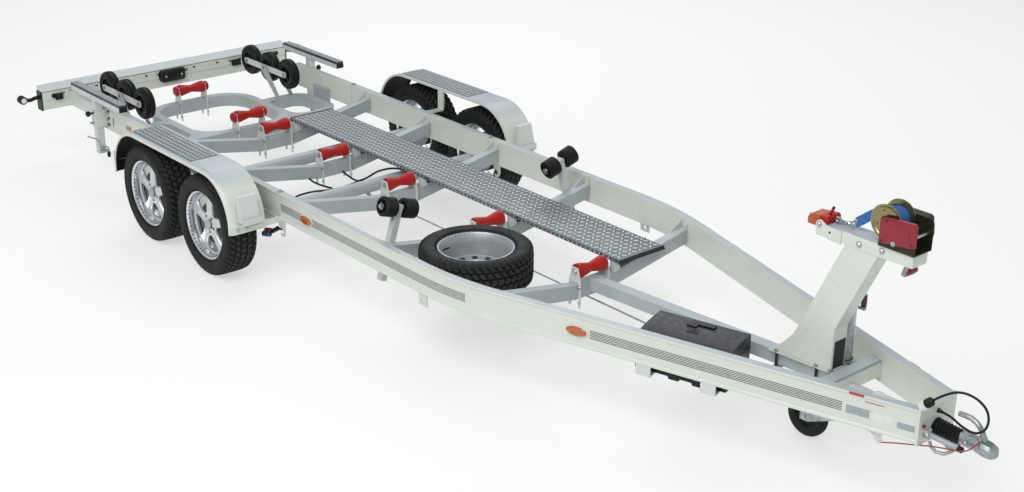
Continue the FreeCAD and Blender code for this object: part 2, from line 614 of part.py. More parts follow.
def loop_block(name, rear, front, half, radius, inset="0"):
    """A block of the cradle's height with its upright edges rounded."""
    block = box(name, "%s - (%s) - 2 * (%s)" % (front, rear, inset),
                "2 * (%s) - 2 * (%s)" % (half, inset), "cradle_high",
                at("%s + %s" % (rear, inset)), "-(%s) + %s" % (half, inset),
                "cradle_top - cradle_high")
    return rounded(name + "_round", block, radius, upright)


def cradle():
    """The rear keel cradle: an inner loop, an outer loop each side, hangers and stands."""
    inner = loop_block("inner_loop", "cradle_rear", "cradle_front", "cradle_half", "cradle_bend")
    outer = loop_block("outer_loop", "wing_rear", "cradle_front", "wing_half", "wing_bend")
    hole = loop_block("inner_hole", "cradle_rear", "cradle_front", "cradle_half",
                      "cradle_bend - cradle_tube", "cradle_tube")
    opening = "(wing_half - cradle_tube - cradle_half)"
    window = box("wing_window", "cradle_front - wing_rear - 2 * cradle_tube",
                 opening, "cradle_high",
                 at("wing_rear + cradle_tube"), "cradle_half - wing_half - cradle_half + cradle_tube",
                 "cradle_top - cradle_high")
    window = rounded("wing_window_round", window,
                     "min(wing_bend - cradle_tube; 0.45 * %s)" % opening, upright)
    hanger = box("cradle_hanger", "hanger_long", "hanger_wide",
                 "cradle_high + hanger_up", at("wing_rear + wing_bend"),
                 "-(rail_outer - rail_wide)", "cradle_top - cradle_high")
    stand = fuse("slip_stand", slip_stand())
    frame = fuse("cradle_frame", [inner, outer])
    holes = fuse("cradle_holes", [hole, window, mirrored("wing_window_left", window)])
    sides = [hanger, stand, mirrored("hanger_left", hanger), mirrored("stand_left", stand)]
    return fuse("cradle_whole", [cut("cradle_open", frame, holes)] + sides)


def slip_stand():
    """Two leaning plates and the pin that carry the right-hand rocker."""
    reach = "slip_wide / 2 + side_gap + plate + stand_gap"
    corners = (("wing_rear - slip_mid", "cradle_top"),
               ("wing_rear + cradle_tube - slip_mid", "cradle_top"),
               ("rocker_high * 0.6", "slip_axle + rocker_high * 0.6"),
               ("-rocker_high * 0.6", "slip_axle + rocker_high * 0.6"),
               ("-rocker_high * 0.6", "slip_axle - rocker_high * 0.6"))
    plates = [padded("slip_stand_plate", "XZ_Plane", corners, "plate", at("slip_mid"),
                     "-slip_y %s (%s + plate / 2)" % (side, reach)) for side in "+-"]
    pin = cylinder("slip_stand_pin", "slip_pin", "2 * (%s + plate)" % reach, at("slip_mid"),
                   "-slip_y - (%s) - plate" % reach, "slip_axle", FACING_Y)
    return plates + [pin]


def rocker():
    """The right-hand rocker: two bars joined by the end wheels' axles."""
    gap = "slip_wide / 2 + side_gap"
    long = "2 * slip_pitch + 2 * rocker_end"
    parts = []
    for side in "+-":
        bar = box("rocker_bar", long, "plate", "rocker_high", at("slip_mid - slip_pitch - rocker_end"),
                  "-slip_y %s (%s + plate / 2) - plate / 2" % (side, gap),
                  "slip_axle - rocker_high / 2")
        parts.append(rounded("rocker_bar_round", bar, "rocker_high / 2 - 0.1", along_y))
    for end in "+-":
        parts.append(cylinder("rocker_axle", "slip_pin", "2 * (%s) + 2 * plate" % gap,
                              at("slip_mid %s slip_pitch" % end), "-slip_y - (%s) - plate" % gap,
                              "slip_axle", FACING_Y))
    hole = cylinder("rocker_hole", "slip_pin + pin_gap", "4 * slip_wide", at("slip_mid"),
                    "-slip_y - 2 * slip_wide", "slip_axle", FACING_Y)
    return cut("rocker_bored", fuse("rocker_parts", parts), hole)


def along_y(edge):
    """Whether an edge is straight and runs across the trailer."""
    ends = [vertex.Point for vertex in edge.Vertexes]
    return len(ends) == 2 and abs(ends[0].x - ends[1].x) + abs(ends[0].z - ends[1].z) < 1e-6


def slip_wheel(name, station, side):
    """A slip wheel: a rounded rubber tyre on a dished rim, bored for its axle."""
    half = (("slip_wide / 2 - 4", "slip_pin + pin_gap"), ("slip_wide / 2 - 4", "slip_pin + 12"),
            ("slip_wide / 2 - 14", "slip_pin + 16"), ("slip_wide / 2 - 14", "slip_rim - 6"),
            ("slip_wide / 2 - 6", "slip_rim"), ("slip_wide / 2", "slip_rim + 14"),
            ("slip_wide / 2", "slip_radius - 18"), ("slip_wide / 2 - 12", "slip_radius - 3"),
            ("slip_wide / 4", "slip_radius"))
    return turned(name, both_ways(half), station, side + "slip_y", "slip_axle")


def tyre(name, x, y, z, turn=None):
    """A road tyre on its bead seats."""
    half = (("rim_wide / 2 - rim_wall", "tyre_bead"), ("rim_wide / 2 - rim_wall", "rim_lip + 2"),
            ("tyre_wide / 2 - 4", "rim_lip + 18"), ("tyre_wide / 2", "rim_lip + 42"),
            ("tyre_wide / 2 - 2", "tyre_radius - 32"), ("tyre_shoulder", "tyre_radius - 7"),
            ("tyre_shoulder - 14", "tyre_radius"))
    return turned(name, both_ways(half), x, y, z, turn)


def rim_parts(name, x, y, z, turn=None):
    """A road wheel's barrel with its lips and a plain disc, outside towards -Y."""
    seat = "rim_wide / 2 - rim_wall"
    half = (("rim_wide / 2", "rim_lip"), (seat, "rim_lip"), (seat, "tyre_bead"))
    inner = (("-(%s)" % seat, "tyre_bead"), ("-(%s)" % seat, "rim_lip"),
             ("-rim_wide / 2", "rim_lip"), ("-rim_wide / 2", "tyre_bead - rim_wall"),
             ("rim_wide / 2", "tyre_bead - rim_wall"))
    body = turned(name, half + inner, x, y, z, turn)
    disc = body.newObject("PartDesign::Revolution", name + "_disc")
    sketch = outline(body, "YZ_Plane", (
        ("-disc_out", "hub_bore"), ("disc_thick - disc_out", "hub_bore"),
        ("disc_thick - disc_out", "tyre_bead - rim_wall / 2"),
        ("-disc_out", "tyre_bead - rim_wall / 2")))
    disc.Profile = sketch
    disc.ReferenceAxis = (sketch, ["H_Axis"])
    disc.Angle = 360
    return body


def alloy_rim(name, x, y, z):
    """A road wheel whose disc is opened between its spokes."""
    body = rim_parts(name, x, y, z)
    pocket = body.newObject("PartDesign::Pocket", name + "_window")
    window = (("-%s * sin(24deg)" % OUTER_WINDOW, "%s * cos(24deg)" % OUTER_WINDOW),
              ("%s * sin(24deg)" % OUTER_WINDOW, "%s * cos(24deg)" % OUTER_WINDOW),
              ("14", "hub_radius + 22"), ("-14", "hub_radius + 22"))
    pocket.Profile = outline(body, "XZ_Plane", window)
    pocket.Midplane = True
    pocket.Type = "ThroughAll"
    ring = body.newObject("PartDesign::PolarPattern", name + "_spokes")
    ring.Originals = [pocket]
    ring.Axis = (origin_of(body, "Y_Axis"), [""])
    ring.Angle = 360
    ring.setExpression("Occurrences", bound("spokes"))
    body.Tip = ring
    return body


def axle(name, wheel_x):
    """An axle tube under the rails with its trailing arms, brake drums and spindles."""
    tube_x = wheel_x + " + axle_lead"
    hub_y = "-(wheel_outer - tyre_wide / 2)"
    face = hub_y + " - disc_out + disc_thick"
    tube = cylinder("axle_tube", "axle_radius", "axle_half", tube_x, "-axle_half", AXLE_Z, FACING_Y)
    knuckle = cylinder("arm_eye", "arm_high / 2 + 6", "arm_thick", tube_x,
                       "-axle_half - arm_thick", AXLE_Z, FACING_Y)
    boss = cylinder("arm_boss", "arm_high / 2", "arm_thick", wheel_x,
                    "-axle_half - arm_thick", "tyre_radius", FACING_Y)
    bar = padded("arm_bar", "XZ_Plane", (
        ("0", "tyre_radius - arm_high / 2"), ("axle_lead", AXLE_Z + " - arm_high / 2"),
        ("axle_lead", AXLE_Z + " + arm_high / 2"), ("0", "tyre_radius + arm_high / 2")),
        "arm_thick", wheel_x, "-axle_half - arm_thick / 2")
    drum_y = face + " + 0.5"
    drum = cylinder("brake_drum", "drum_radius", "drum_deep", wheel_x, drum_y,
                    "tyre_radius", FACING_Y)
    neck = cylinder("hub_neck", "arm_high / 2", "-axle_half - (%s)" % drum_y, wheel_x, drum_y,
                    "tyre_radius", FACING_Y)
    nose = cylinder("hub_nose", "stub_radius", "disc_thick + 16", wheel_x,
                    face + " - disc_thick - 14", "tyre_radius", FACING_Y)
    half = fuse(name + "_half", [tube, knuckle, boss, bar, drum, neck, nose])
    return fuse(name, [half, mirrored(name + "_left", half)])


def fender():
    """The right-hand fender: a folded arch over both wheels with a lip and two stays."""
    middle = "-(fender_in + fender_out) / 2"

    def arch(name, inset, across, y):
        block = padded(name, "XZ_Plane", (
            ("fender_rear + %s" % inset, "fender_low"), ("fender_front - %s" % inset, "fender_low"),
            ("fender_front - %s" % inset, "fender_top - %s" % inset),
            ("fender_rear + %s" % inset, "fender_top - %s" % inset)), across, "axle_mid", y)
        top = number("fender_top - %s" % inset)
        return rounded(name + "_round", block, "fender_bend - %s" % inset,
                       lambda edge: along_y(edge) and abs(edge.Vertexes[0].Point.z - top) < 0.01)

    sheet = cut("fender_sheet_cut", arch("fender_skin", "0", "fender_out - fender_in", middle),
                arch("fender_space", "fender_sheet", "fender_out", middle))
    lip_y = "-fender_out + fender_sheet / 2"
    lip = cut("fender_lip_cut", arch("fender_rim", "0", "fender_sheet", lip_y),
              arch("fender_mouth", "fender_lip", "fender_out", lip_y))
    stays = []
    for x in ("axle_mid + fender_rear + fender_sheet", "axle_mid + fender_front - fender_sheet - plate"):
        stays.append(box("fender_stay", "plate", "fender_out - fender_sheet - rail_outer + lip_deep",
                         "stay_high", x, "-fender_out + fender_sheet", "stay_low"))
    return fuse("fender_whole", [sheet, lip] + stays)


def walkway():
    """The tread plate walkway with folded edges, on feet on the cross members' arms."""
    long = "walk_front - walk_rear"
    outer = box("walk_outer", long, "walk_wide", "walk_lip", at("walk_rear"), "walk_low",
                "walk_top - walk_lip")
    under = box("walk_under", long, "walk_wide - 2 * walk_sheet", "walk_lip", at("walk_rear"),
                "walk_low + walk_sheet", "walk_top - walk_lip - walk_sheet")
    feet = []
    for station in ROLLERS:
        for low in ("walk_low + walk_sheet", "walk_low + walk_wide - walk_sheet - walk_foot"):
            high = low + " + walk_foot"
            feet.append(padded("walk_support", "YZ_Plane", (
                (low, arm_top("(%s)" % low)), (high, arm_top("(%s)" % high)),
                (high, "walk_top - walk_sheet"), (low, "walk_top - walk_sheet")),
                "walk_foot", at(station)))
    return fuse("walk_whole", [cut("walk_plate", outer, under)] + feet)


def beam_top(station):
    """Height of the centre beam's top at a station."""
    start = "(roller_seven + member_wide / 2)"
    return ("beam_rear_top + (beam_front_top - beam_rear_top) * (%s - %s) / (bridge_rear - %s)"
            % (station, start, start))


def centre_beam():
    """The rising centre beam and the front cross member that it ends at."""
    start = "roller_seven + member_wide / 2"
    beam = padded("beam_bar", "XZ_Plane", (
        (start, "beam_rear_top - beam_high"), ("bridge_rear", "beam_front_top - beam_high"),
        ("bridge_rear", "beam_front_top"), (start, "beam_rear_top")), "beam_wide", "axle_mid")
    end = "(%s - rail_wide / 2)" % rail_half("bridge_rear + bridge_long / 2")
    bridge = box("bridge", "bridge_long", "2 * " + end, "bridge_high", at("bridge_rear"),
                 "-" + end, "beam_front_top - beam_high")
    return fuse("beam_whole", [beam, bridge])


def winch_post():
    """The folded winch post with its level arm."""
    post = padded("post_sheet", "XZ_Plane", (
        ("post_rear", beam_top("post_rear")), ("post_front", beam_top("post_front")),
        ("post_front", "post_knee_z"), ("post_head_front", "arm_bottom"),
        ("post_head_rear", "arm_bottom"), ("post_heel", "post_heel_z")), "post_wide", "axle_mid")
    arm = box("winch_arm", "arm_front - arm_rear", "arm_across", "arm_deep", at("arm_rear"),
              "-arm_across / 2", "arm_bottom")
    rear = "(post_rear - flange_over)"
    front = "(post_front + flange_over)"
    flange = padded("post_flange", "XZ_Plane", (
        (rear, beam_top(rear)), (front, beam_top(front)), (front, beam_top(front) + " + flange_thick"),
        (rear, beam_top(rear) + " + flange_thick")), "flange_wide", "axle_mid")
    return fuse("post_whole", [post, arm, flange])


def winch_frame():
    """The winch's base, side plates, drum pin and gear cover."""
    rear = at("winch_x - winch_behind")
    base = "arm_bottom + arm_deep"
    floor = box("winch_floor", "winch_long", "2 * winch_half", "winch_side", rear, "-winch_half", base)
    parts = [floor]
    for y in ("-winch_half - winch_side", "winch_half"):
        plate = box("winch_plate", "winch_long", "winch_side", "winch_high", rear, y, base)
        parts.append(rounded("winch_plate_round", plate, "winch_side * 6", high_along_y(base)))
    parts.append(cylinder("winch_pin", "drum_pin", "2 * winch_half", at("winch_x"), "-winch_half",
                          "winch_z", FACING_Y))
    cover = box("gear_cover", "cover_long", "crank_out - winch_half - winch_side - 8",
                "winch_high", at("winch_x"), "winch_half + winch_side", base)
    parts.append(rounded("gear_cover_round", cover, "winch_side * 4", high_along_y(base)))
    shaft = cylinder("crank_hole", "drum_pin + pin_gap", "4 * crank_out", at("crank_x"),
                     "-2 * crank_out", "crank_z", FACING_Y)
    return cut("winch_frame_bored", fuse("winch_parts", parts), shaft)


def high_along_y(base):
    """Tells the edges across the trailer that lie above a height."""
    low = number(base + " + winch_side / 5")
    return lambda edge: along_y(edge) and edge.Vertexes[0].Point.z > low


def winch_drum():
    """The winch drum between its flanges, wound with strap."""
    half = (("drum_half", "drum_pin + pin_gap"), ("drum_half", "drum_flange"),
            ("drum_half - 3", "drum_flange"), ("drum_half - 3", "drum_core"))
    return turned("drum_turned", both_ways(half), at("winch_x"), "0", "winch_z")


def winch_crank():
    """The winch crank: shaft, arm and grip."""
    turn = FreeCAD.Rotation(FreeCAD.Vector(0, 1, 0), number("crank_lean"))
    shaft = cylinder("crank_shaft", "drum_pin", "crank_out + winch_half + shaft_over + crank_thick",
                     at("crank_x"), "-winch_half - shaft_over", "crank_z", FACING_Y)
    body = new_body("crank_arm", at("crank_x"), "crank_out", "crank_z", turn)
    pad = body.newObject("PartDesign::Pad", "crank_arm_pad")
    pad.Profile = outline(body, "XZ_Plane", (
        ("-crank_wide / 2", "-0.7 * crank_wide"), ("crank_wide / 2", "-0.7 * crank_wide"),
        ("0.4 * crank_wide", "crank_long + crank_end"), ("-0.4 * crank_wide", "crank_long + crank_end")))
    pad.setExpression("Length", bound("crank_thick"))
    pad.Reversed = True
    reach_x = "crank_long * sin(crank_lean * 1deg)"
    reach_z = "crank_long * cos(crank_lean * 1deg)"
    grip = cylinder("crank_grip", "grip_radius", "grip_long", at("crank_x + " + reach_x),
                    "crank_out + crank_thick", "crank_z + " + reach_z, FACING_Y)
    return fuse("crank_whole", [shaft, body, grip])


def bow_stop():
    """The bow stop at the rear end of the winch arm, with its V open to the rear."""
    top = "stop_low + stop_high"
    block = padded("stop_block", "XZ_Plane", (
        ("stop_rear", "stop_low"), ("arm_rear", "stop_low"), ("arm_rear", "arm_bottom + arm_deep"),
        ("stop_front", "arm_bottom + arm_deep"), ("stop_front", top + " + stop_rise"),
        ("stop_rear + stop_lean", top)), "2 * stop_half", "axle_mid")
    notch = padded("stop_notch_space", "XY_Plane", (
        ("stop_rear", "-0.8 * stop_half"), ("stop_rear + stop_notch", "0"),
        ("stop_rear", "0.8 * stop_half"), ("stop_rear - stop_notch", "0")), "4 * stop_high",
        "axle_mid", "0", top)
    return cut("stop_whole", block, notch)


def side_support():
    """The right-hand side support: a post with a rubber-topped bar across it."""
    post = box("support_tube", "support_post", "support_post", PAD_LOW + " - support_foot",
               at("support_x - support_post / 2"), "-support_y - support_post / 2", "support_foot")
    bar = box("support_bar", "pad_front - pad_rear", "pad_wide", "pad_high", at("pad_rear"),
              "-support_y - pad_wide / 2", PAD_LOW)
    strip = box("rubber_strip", "pad_front - pad_rear", "0.86 * pad_wide", "pad_rubber",
                at("pad_rear"), "-support_y - 0.43 * pad_wide", "pad_top - pad_rubber")
    return fuse("support_whole", [post, bar, strip])


def support_sleeve():
    """The sleeve on the rail in which the right-hand side support slides."""
    half = "(support_post / 2 + slide_gap + sleeve_wall)"
    block = box("sleeve_block", "2 * " + half, "support_y + %s - rail_outer + lip_deep" % half,
                "sleeve_high", at("support_x - " + half), "-support_y - " + half, "sleeve_z")
    bore = box("sleeve_bore", "support_post + 2 * slide_gap", "support_post + 2 * slide_gap",
               "3 * sleeve_high", at("support_x - support_post / 2 - slide_gap"),
               "-support_y - support_post / 2 - slide_gap", "sleeve_z - sleeve_high")
    return cut("sleeve_bored", block, bore)


def guide_frame():
    """The right-hand guide post's lean as a turn."""
    return FreeCAD.Rotation(FreeCAD.Vector(1, 0, 0), -number("guide_tilt"))


def guide_post():
    """The right-hand guide post with the axle of its rollers."""
    half = "(guide_gap / 2 + guide_wide + side_gap)"
    lean = "guide_tilt * 1deg"
    tube = DOC.addObject("Part::Box", "guide_tube")
    for size, text in (("Length", "guide_post"), ("Width", "guide_post"),
                       ("Height", "guide_down + guide_post / 2")):
        tube.setExpression(size, bound(text))
    down = "guide_down"
    place(tube, at(GUIDE_X + " - guide_post / 2"),
          "-guide_y - guide_post / 2 * cos(%s) - %s * sin(%s)" % (lean, down, lean),
          "guide_z + guide_post / 2 * sin(%s) - %s * cos(%s)" % (lean, down, lean), guide_frame())
    turn = FreeCAD.Rotation(FreeCAD.Vector(1, 0, 0), -90 - number("guide_tilt"))
    axle_pin = cylinder("guide_axle", "guide_pin", "2 * " + half, at(GUIDE_X),
                        "-guide_y - %s * cos(%s)" % (half, lean),
                        "guide_z + %s * sin(%s)" % (half, lean), turn)
    return fuse("guide_whole", [tube, axle_pin])


def guide_rollers():
    """The right-hand pair of guide rollers on their axle."""
    pair = []
    for side in "+-":
        low = "guide_gap / 2"
        high = "guide_gap / 2 + guide_wide"
        corners = [("0 %s (%s)" % (side, a), b) for a, b in (
            (low, "guide_pin + pin_gap"), (low, "guide_radius - 6"), (low + " + 6", "guide_radius"),
            (high + " - 10", "guide_radius"), (high, "guide_radius - 10"),
            (high, "guide_pin + pin_gap"))]
        pair.append(turned("guide_roller", corners, at(GUIDE_X), "-guide_y", "guide_z",
                           guide_frame()))
    return group("guide_pair", pair)


def light_beam():
    """The rear light beam with the two arms that slide in the rails."""
    beam = padded("light_box", "XZ_Plane", (
        ("light_rear", "light_bottom"), ("light_rear + light_deep", "light_bottom"),
        ("light_rear + light_deep", "light_front_top"), ("light_rear", "light_rear_top")),
        "2 * light_half", "axle_mid")
    arm = box("pull_arm", "rail_rear + arm_in - light_rear - light_deep", "arm_wide", "arm_tall",
              at("light_rear + light_deep"), "%s - arm_wide / 2" % ARM_Y, ARM_Z)
    return fuse("light_whole", [beam, arm, mirrored("pull_arm_left", arm)])


def lamps():
    """The tail lamps, the bare plate and the side marker lamps of the light beam."""
    lamp = box("tail_lamp", "lamp_deep", "lamp_wide", "lamp_high", at("light_rear - lamp_deep"),
               "-light_half + lamp_wide / 4", "light_bottom + lamp_up")
    lamp = rounded("tail_lamp_round", lamp, "lamp_deep * 0.4",
                   lambda edge: edge.CenterOfMass.x < number(at("light_rear - 0.95 * lamp_deep")))
    board = box("plate_board", "board_thick", "board_wide", "board_high", at("light_rear - board_thick"),
                "-board_wide / 2", "light_bottom + lamp_up")
    rear = [lamp, mirrored("tail_lamp_left", lamp), board]
    return group("lamps_all", rear + stalk_lamps())


def stalk_lamps():
    """The side marker lamps on their rubber arms."""
    middle = at("light_rear + light_deep / 2")
    arm = cylinder("stalk_arm", "stalk_radius", "stalk_out - light_half", middle, "-stalk_out",
                   "stalk_z", FACING_Y)
    lamp = cylinder("stalk_head", "stalk_lamp", "2 * stalk_lamp",
                    middle + " - stalk_lamp", "-stalk_out", "stalk_z", FACING_X)
    one = fuse("stalk_one", [arm, lamp])
    return [one, mirrored("stalk_left", one)]


def jockey_tube():
    """The jockey wheel's outer tube with the bracket that holds it to the front cross member."""
    tube = cylinder("jockey_pipe", "jockey_outer", "jockey_high - jockey_low", at("jockey_x"),
                    "jockey_y", "jockey_low")
    bracket = box("jockey_bracket", "bridge_rear - jockey_x", "2 * (jockey_outer + ring_wall)",
                  "bridge_high - 2 * ring_in", at("jockey_x"), "jockey_y - jockey_outer - ring_wall",
                  "beam_front_top - beam_high + ring_in")
    bore = cylinder("jockey_hole", "jockey_bore", "jockey_high - jockey_low - 20", at("jockey_x"),
                    "jockey_y", "jockey_low")
    crank = box("jockey_crank", "knob_reach + 2 * crank_back", "knob_wide", "knob_thick",
                at("jockey_x - crank_back"), "jockey_y - knob_wide / 2", "jockey_high")
    grip = cylinder("jockey_grip", "knob_radius", "knob_long", at("jockey_x + knob_reach"),
                    "jockey_y", "jockey_high + knob_thick")
    return cut("jockey_open", fuse("jockey_parts", [tube, bracket, crank, grip]), bore)


def jockey_leg():
    """The jockey wheel's inner tube, bored below for the fork's stem."""
    leg = cylinder("leg_pipe", "jockey_bore - slide_gap", "jockey_high - jockey_spare - (%s)" % LEG_LOW,
                   at("jockey_x"), "jockey_y", LEG_LOW)
    bore = cylinder("leg_hole", "drum_pin + pin_gap", "stem_long + stem_over", at("jockey_x"), "jockey_y",
                    LEG_LOW)
    return cut("leg_bored", leg, bore)


def jockey_fork():
    """The jockey wheel's trailing fork with its stem and axle."""
    gap = "jockey_wide / 2 + side_gap"
    stem = cylinder("fork_stem", "drum_pin", "fork_crown + stem_long", at("jockey_x"), "jockey_y",
                    "fork_z")
    crown = box("fork_head", "2 * crown_half", "2 * (%s) + 2 * plate" % gap, "fork_crown",
                at("jockey_x - crown_half"), "jockey_y - (%s) - plate" % gap, "fork_z")
    corners = (("-jockey_trail - fork_eye", "jockey_radius - fork_eye"),
               ("-jockey_trail + fork_eye", "jockey_radius - fork_eye"),
               ("crown_half", "fork_z"), ("-crown_half", "fork_z + fork_crown"),
               ("-jockey_trail - fork_eye", "jockey_radius + fork_eye"))
    sides = [padded("fork_side", "XZ_Plane", corners, "plate", at("jockey_x"),
                    "jockey_y %s (%s + plate / 2)" % (side, gap)) for side in "+-"]
    pin = cylinder("fork_pin", "jockey_pin", "2 * (%s) + 2 * plate" % gap,
                   at("jockey_x - jockey_trail"), "jockey_y - (%s) - plate" % gap,
                   "jockey_radius", FACING_Y)
    return fuse("fork_whole", [stem, crown, pin] + sides)


def jockey_wheel():
    """The jockey wheel, bored for its axle."""
    half = (("jockey_wide / 2", "jockey_pin + pin_gap"), ("jockey_wide / 2", "jockey_pin + 14"),
            ("jockey_wide / 2 - 12", "jockey_pin + 18"), ("jockey_wide / 2 - 12", "jockey_rim - 6"),
            ("jockey_wide / 2 - 2", "jockey_rim"), ("jockey_wide / 2", "jockey_radius - 14"),
            ("jockey_wide / 2 - 10", "jockey_radius"))
    return turned("jockey_tyre", both_ways(half), at("jockey_x - jockey_trail"), "jockey_y",
                  "jockey_radius")


def coupling_frame():
    """The front plate, the inner plate and the draw tube that the coupling rides on."""
    front = box("nose_plate", "2 * plate", "2 * rail_nose", "nose_high", at("rail_front"),
                "-rail_nose", "nose_low")
    tab = box("nose_tab", "2 * plate", "tab_wide", "tab_high", at("rail_front"), "-rail_nose",
              "nose_low + nose_high")
    end = "(%s - rail_wide / 2)" % rail_half("draw_rear")
    inner = box("draw_plate", "2 * plate", "2 * " + end, "rail_high - 30", at("draw_rear"),
                "-" + end, "rail_bottom + 15")
    tube = cylinder("draw_pipe", "draw_tube", "head_rear - draw_rear", at("draw_rear"), "0",
                    "head_z", FACING_X)
    holder = cylinder("plug_holder", "plug_radius + 4", "holder_long", at("rail_front + plate"),
                      "plug_y", "plug_z", plug_turn())
    gland = cylinder("cable_gland", "cable_radius + 5", "2 * plate + 8", at("rail_front"),
                     "%.1f" % CABLE[0][1], "%.1f" % CABLE[0][2], FACING_X)
    return fuse("draw_whole", [front, tab, inner, tube, holder, gland] + brake_rod())


def plug_turn():
    """The plug's direction: forward and upward."""
    return FreeCAD.Rotation(FreeCAD.Vector(0, 1, 0), 90 - number("plug_lean"))


def plug():
    """The lighting plug, parked in its holder."""
    out = "holder_long * cos(plug_lean * 1deg)"
    up = "holder_long * sin(plug_lean * 1deg)"
    return cylinder("plug_body", "plug_radius", "plug_long", at("rail_front + plate + " + out),
                    "plug_y", "plug_z + " + up, plug_turn())


def cable():
    """The lighting cable: straight runs joined by tangent arcs, from the gland to the plug."""
    far = ("rail_front + plate + (holder_long + plug_long) * cos(plug_lean * 1deg)", "plug_y",
           "plug_z + (holder_long + plug_long) * sin(plug_lean * 1deg)")
    near = ("rail_front + 2 * plate + 8", CABLE[0][1], CABLE[0][2])
    route = [near] + list(CABLE[1:]) + [far]
    points = [FreeCAD.Vector(number(at(a)) if isinstance(a, str) else number("axle_mid") + a,
                             number(b) if isinstance(b, str) else b,
                             number(c) if isinstance(c, str) else c) for a, b, c in route]
    edges = []
    last = points[0]
    radii = []
    for before, corner, after in zip(points, points[1:], points[2:]):
        back = before - corner
        ahead = after - corner
        half = (math.pi - back.getAngle(ahead)) / 2
        reach = 0.45 * min(back.Length, ahead.Length)
        radii.append(reach / math.tan(half))
        start = corner + back.normalize() * reach
        end = corner + ahead.normalize() * reach
        inward = (back + ahead).normalize()
        middle = corner + inward * (radii[-1] / math.cos(half) - radii[-1])
        edges.append(Part.LineSegment(last, start).toShape())
        edges.append(Part.Arc(start, middle, end).toShape())
        last = end
    edges.append(Part.LineSegment(last, points[-1]).toShape())
    wire = Part.Wire(edges)
    radius = number("cable_radius")
    ring = Part.Wire(Part.makeCircle(radius, points[0], points[1] - points[0]))
    tube = DOC.addObject("Part::Feature", "cable_tube")
    tube.Shape = wire.makePipeShell([ring], True, False)
    print("cable length %.1f radii" % wire.Length, " ".join("%.0f" % r for r in radii),
          "volume %.0f of %.0f" % (tube.Shape.Volume, math.pi * radius ** 2 * wire.Length))
    return tube


def coupling_head():
    """The ball coupling with its cup, neck and lifting handle."""
    cup_x = "head_tip - ball_radius - cup_wall"
    cup = cylinder("cup_body", "ball_radius + cup_wall", "cup_high", at(cup_x), "0",
                   "head_z - cup_high / 2")
    neck = box("head_neck", cup_x + " - head_rear", "neck_wide", "neck_low + neck_over",
               at("head_rear"), "-neck_wide / 2", "head_z - neck_low")
    socket = cylinder("cup_bore", "ball_radius", "cup_deep", at(cup_x), "0", "head_z - cup_high / 2")
    bore = cylinder("neck_bore", "draw_tube", "1", at("head_rear - 1"), "0", "head_z", FACING_X)
    foot = cup_x + " - handle_foot"
    knee = foot + " - handle_knee"
    bend = knee + " - handle_lean"
    handle = padded("head_handle", "XZ_Plane", (
        (foot, "head_z + handle_root"), (knee, "head_z + handle_root + handle_rise"),
        (bend, "head_z + handle_top"), (bend + " - handle_long", "head_z + handle_top"),
        (bend + " - handle_long", "head_z + handle_top - handle_bar"),
        (bend + " + handle_bar / 3", "head_z + handle_top - handle_bar"),
        (knee + " - handle_bar", "head_z + handle_root + handle_rise - handle_bar / 2"),
        (foot + " - handle_bar", "head_z + handle_root")), "handle_wide", "axle_mid")
    return cut("head_whole", fuse("head_parts", [cup, neck, handle]), fuse("head_holes", [socket, bore]))


def bellows():
    """The rubber bellows between the front plate and the coupling head."""
    long = "(head_rear - rail_front - 2 * plate)"
    sleeve = cylinder("bellows_sleeve", "bellows_radius", long, at("rail_front + 2 * plate"), "0",
                      "head_z", FACING_X)
    bore = cylinder("bellows_bore", "draw_tube", long, at("rail_front + 2 * plate"), "0",
                    "head_z", FACING_X)
    return cut("bellows_open", sleeve, bore)


def spare_carrier():
    """The bar under the spare wheel with its end tabs, stud and clamp plate."""
    rear = "roller_six + member_wide / 2"
    front = "roller_seven - member_wide / 2"
    wide = "carrier_wide"
    low = "-carrier_wide / 2 + spare_y"
    bar = box("carrier_bar", "%s - (%s)" % (front, rear), wide, "plate * 1.5", at(rear), low,
              "spare_z - plate * 1.5")
    tabs = [box("carrier_tab", "plate", wide, "member_high * 0.6", at(x), low, "spare_z")
            for x in (rear, front + " - plate")]
    disc_low = "spare_z + tyre_wide / 2 - disc_out"
    disc_top = disc_low + " + disc_thick"
    seat = cylinder("carrier_seat", "hub_radius", disc_low + " - spare_z", at("spare_x"), "spare_y",
                    "spare_z")
    stud = cylinder("carrier_stud", "stud_radius", disc_top + " + stud_over - spare_z", at("spare_x"),
                    "spare_y", "spare_z")
    clamp = cylinder("carrier_clamp", "clamp_radius", "clamp_thick", at("spare_x"), "spare_y", disc_top)
    return fuse("carrier_whole", [bar, seat, stud, clamp] + tabs)


def beside_rail(name, long, wide, high, x, y, z):
    """A box set along the right-hand rail's sloping inner face: x along it, y away from it."""
    turn = FreeCAD.Rotation(FreeCAD.Vector(0, 0, 1), number("rail_angle"))
    face = "-%s + rail_wide / cos(rail_angle * 1deg)" % rail_half("box_rear")
    lean = "rail_angle * 1deg"
    return box(name, long, wide, high,
               at("box_rear + (%s) * cos(%s) - (%s) * sin(%s)" % (x, lean, y, lean)),
               "%s + (%s) * sin(%s) + (%s) * cos(%s)" % (face, x, lean, y, lean), z, turn)


def hinge_bar(name, radius, long, x):
    """A round bar on the lid's hinge line: x along the rail to its rear end."""
    bar = beside_rail(name + "_place", "1", "1", "1", x, "box_off + box_deep + lid_out",
                      "box_low + box_high + box_slit")
    bar.Visibility = False
    turn = FreeCAD.Rotation(FreeCAD.Vector(0, 0, 1), number("rail_angle")) * FACING_X
    round_bar = cylinder(name, radius, long, "0", "0", "0", turn)
    for axis in "xyz":
        round_bar.setExpression(".Placement.Base." + axis, bar.Name + ".Placement.Base." + axis)
    return round_bar


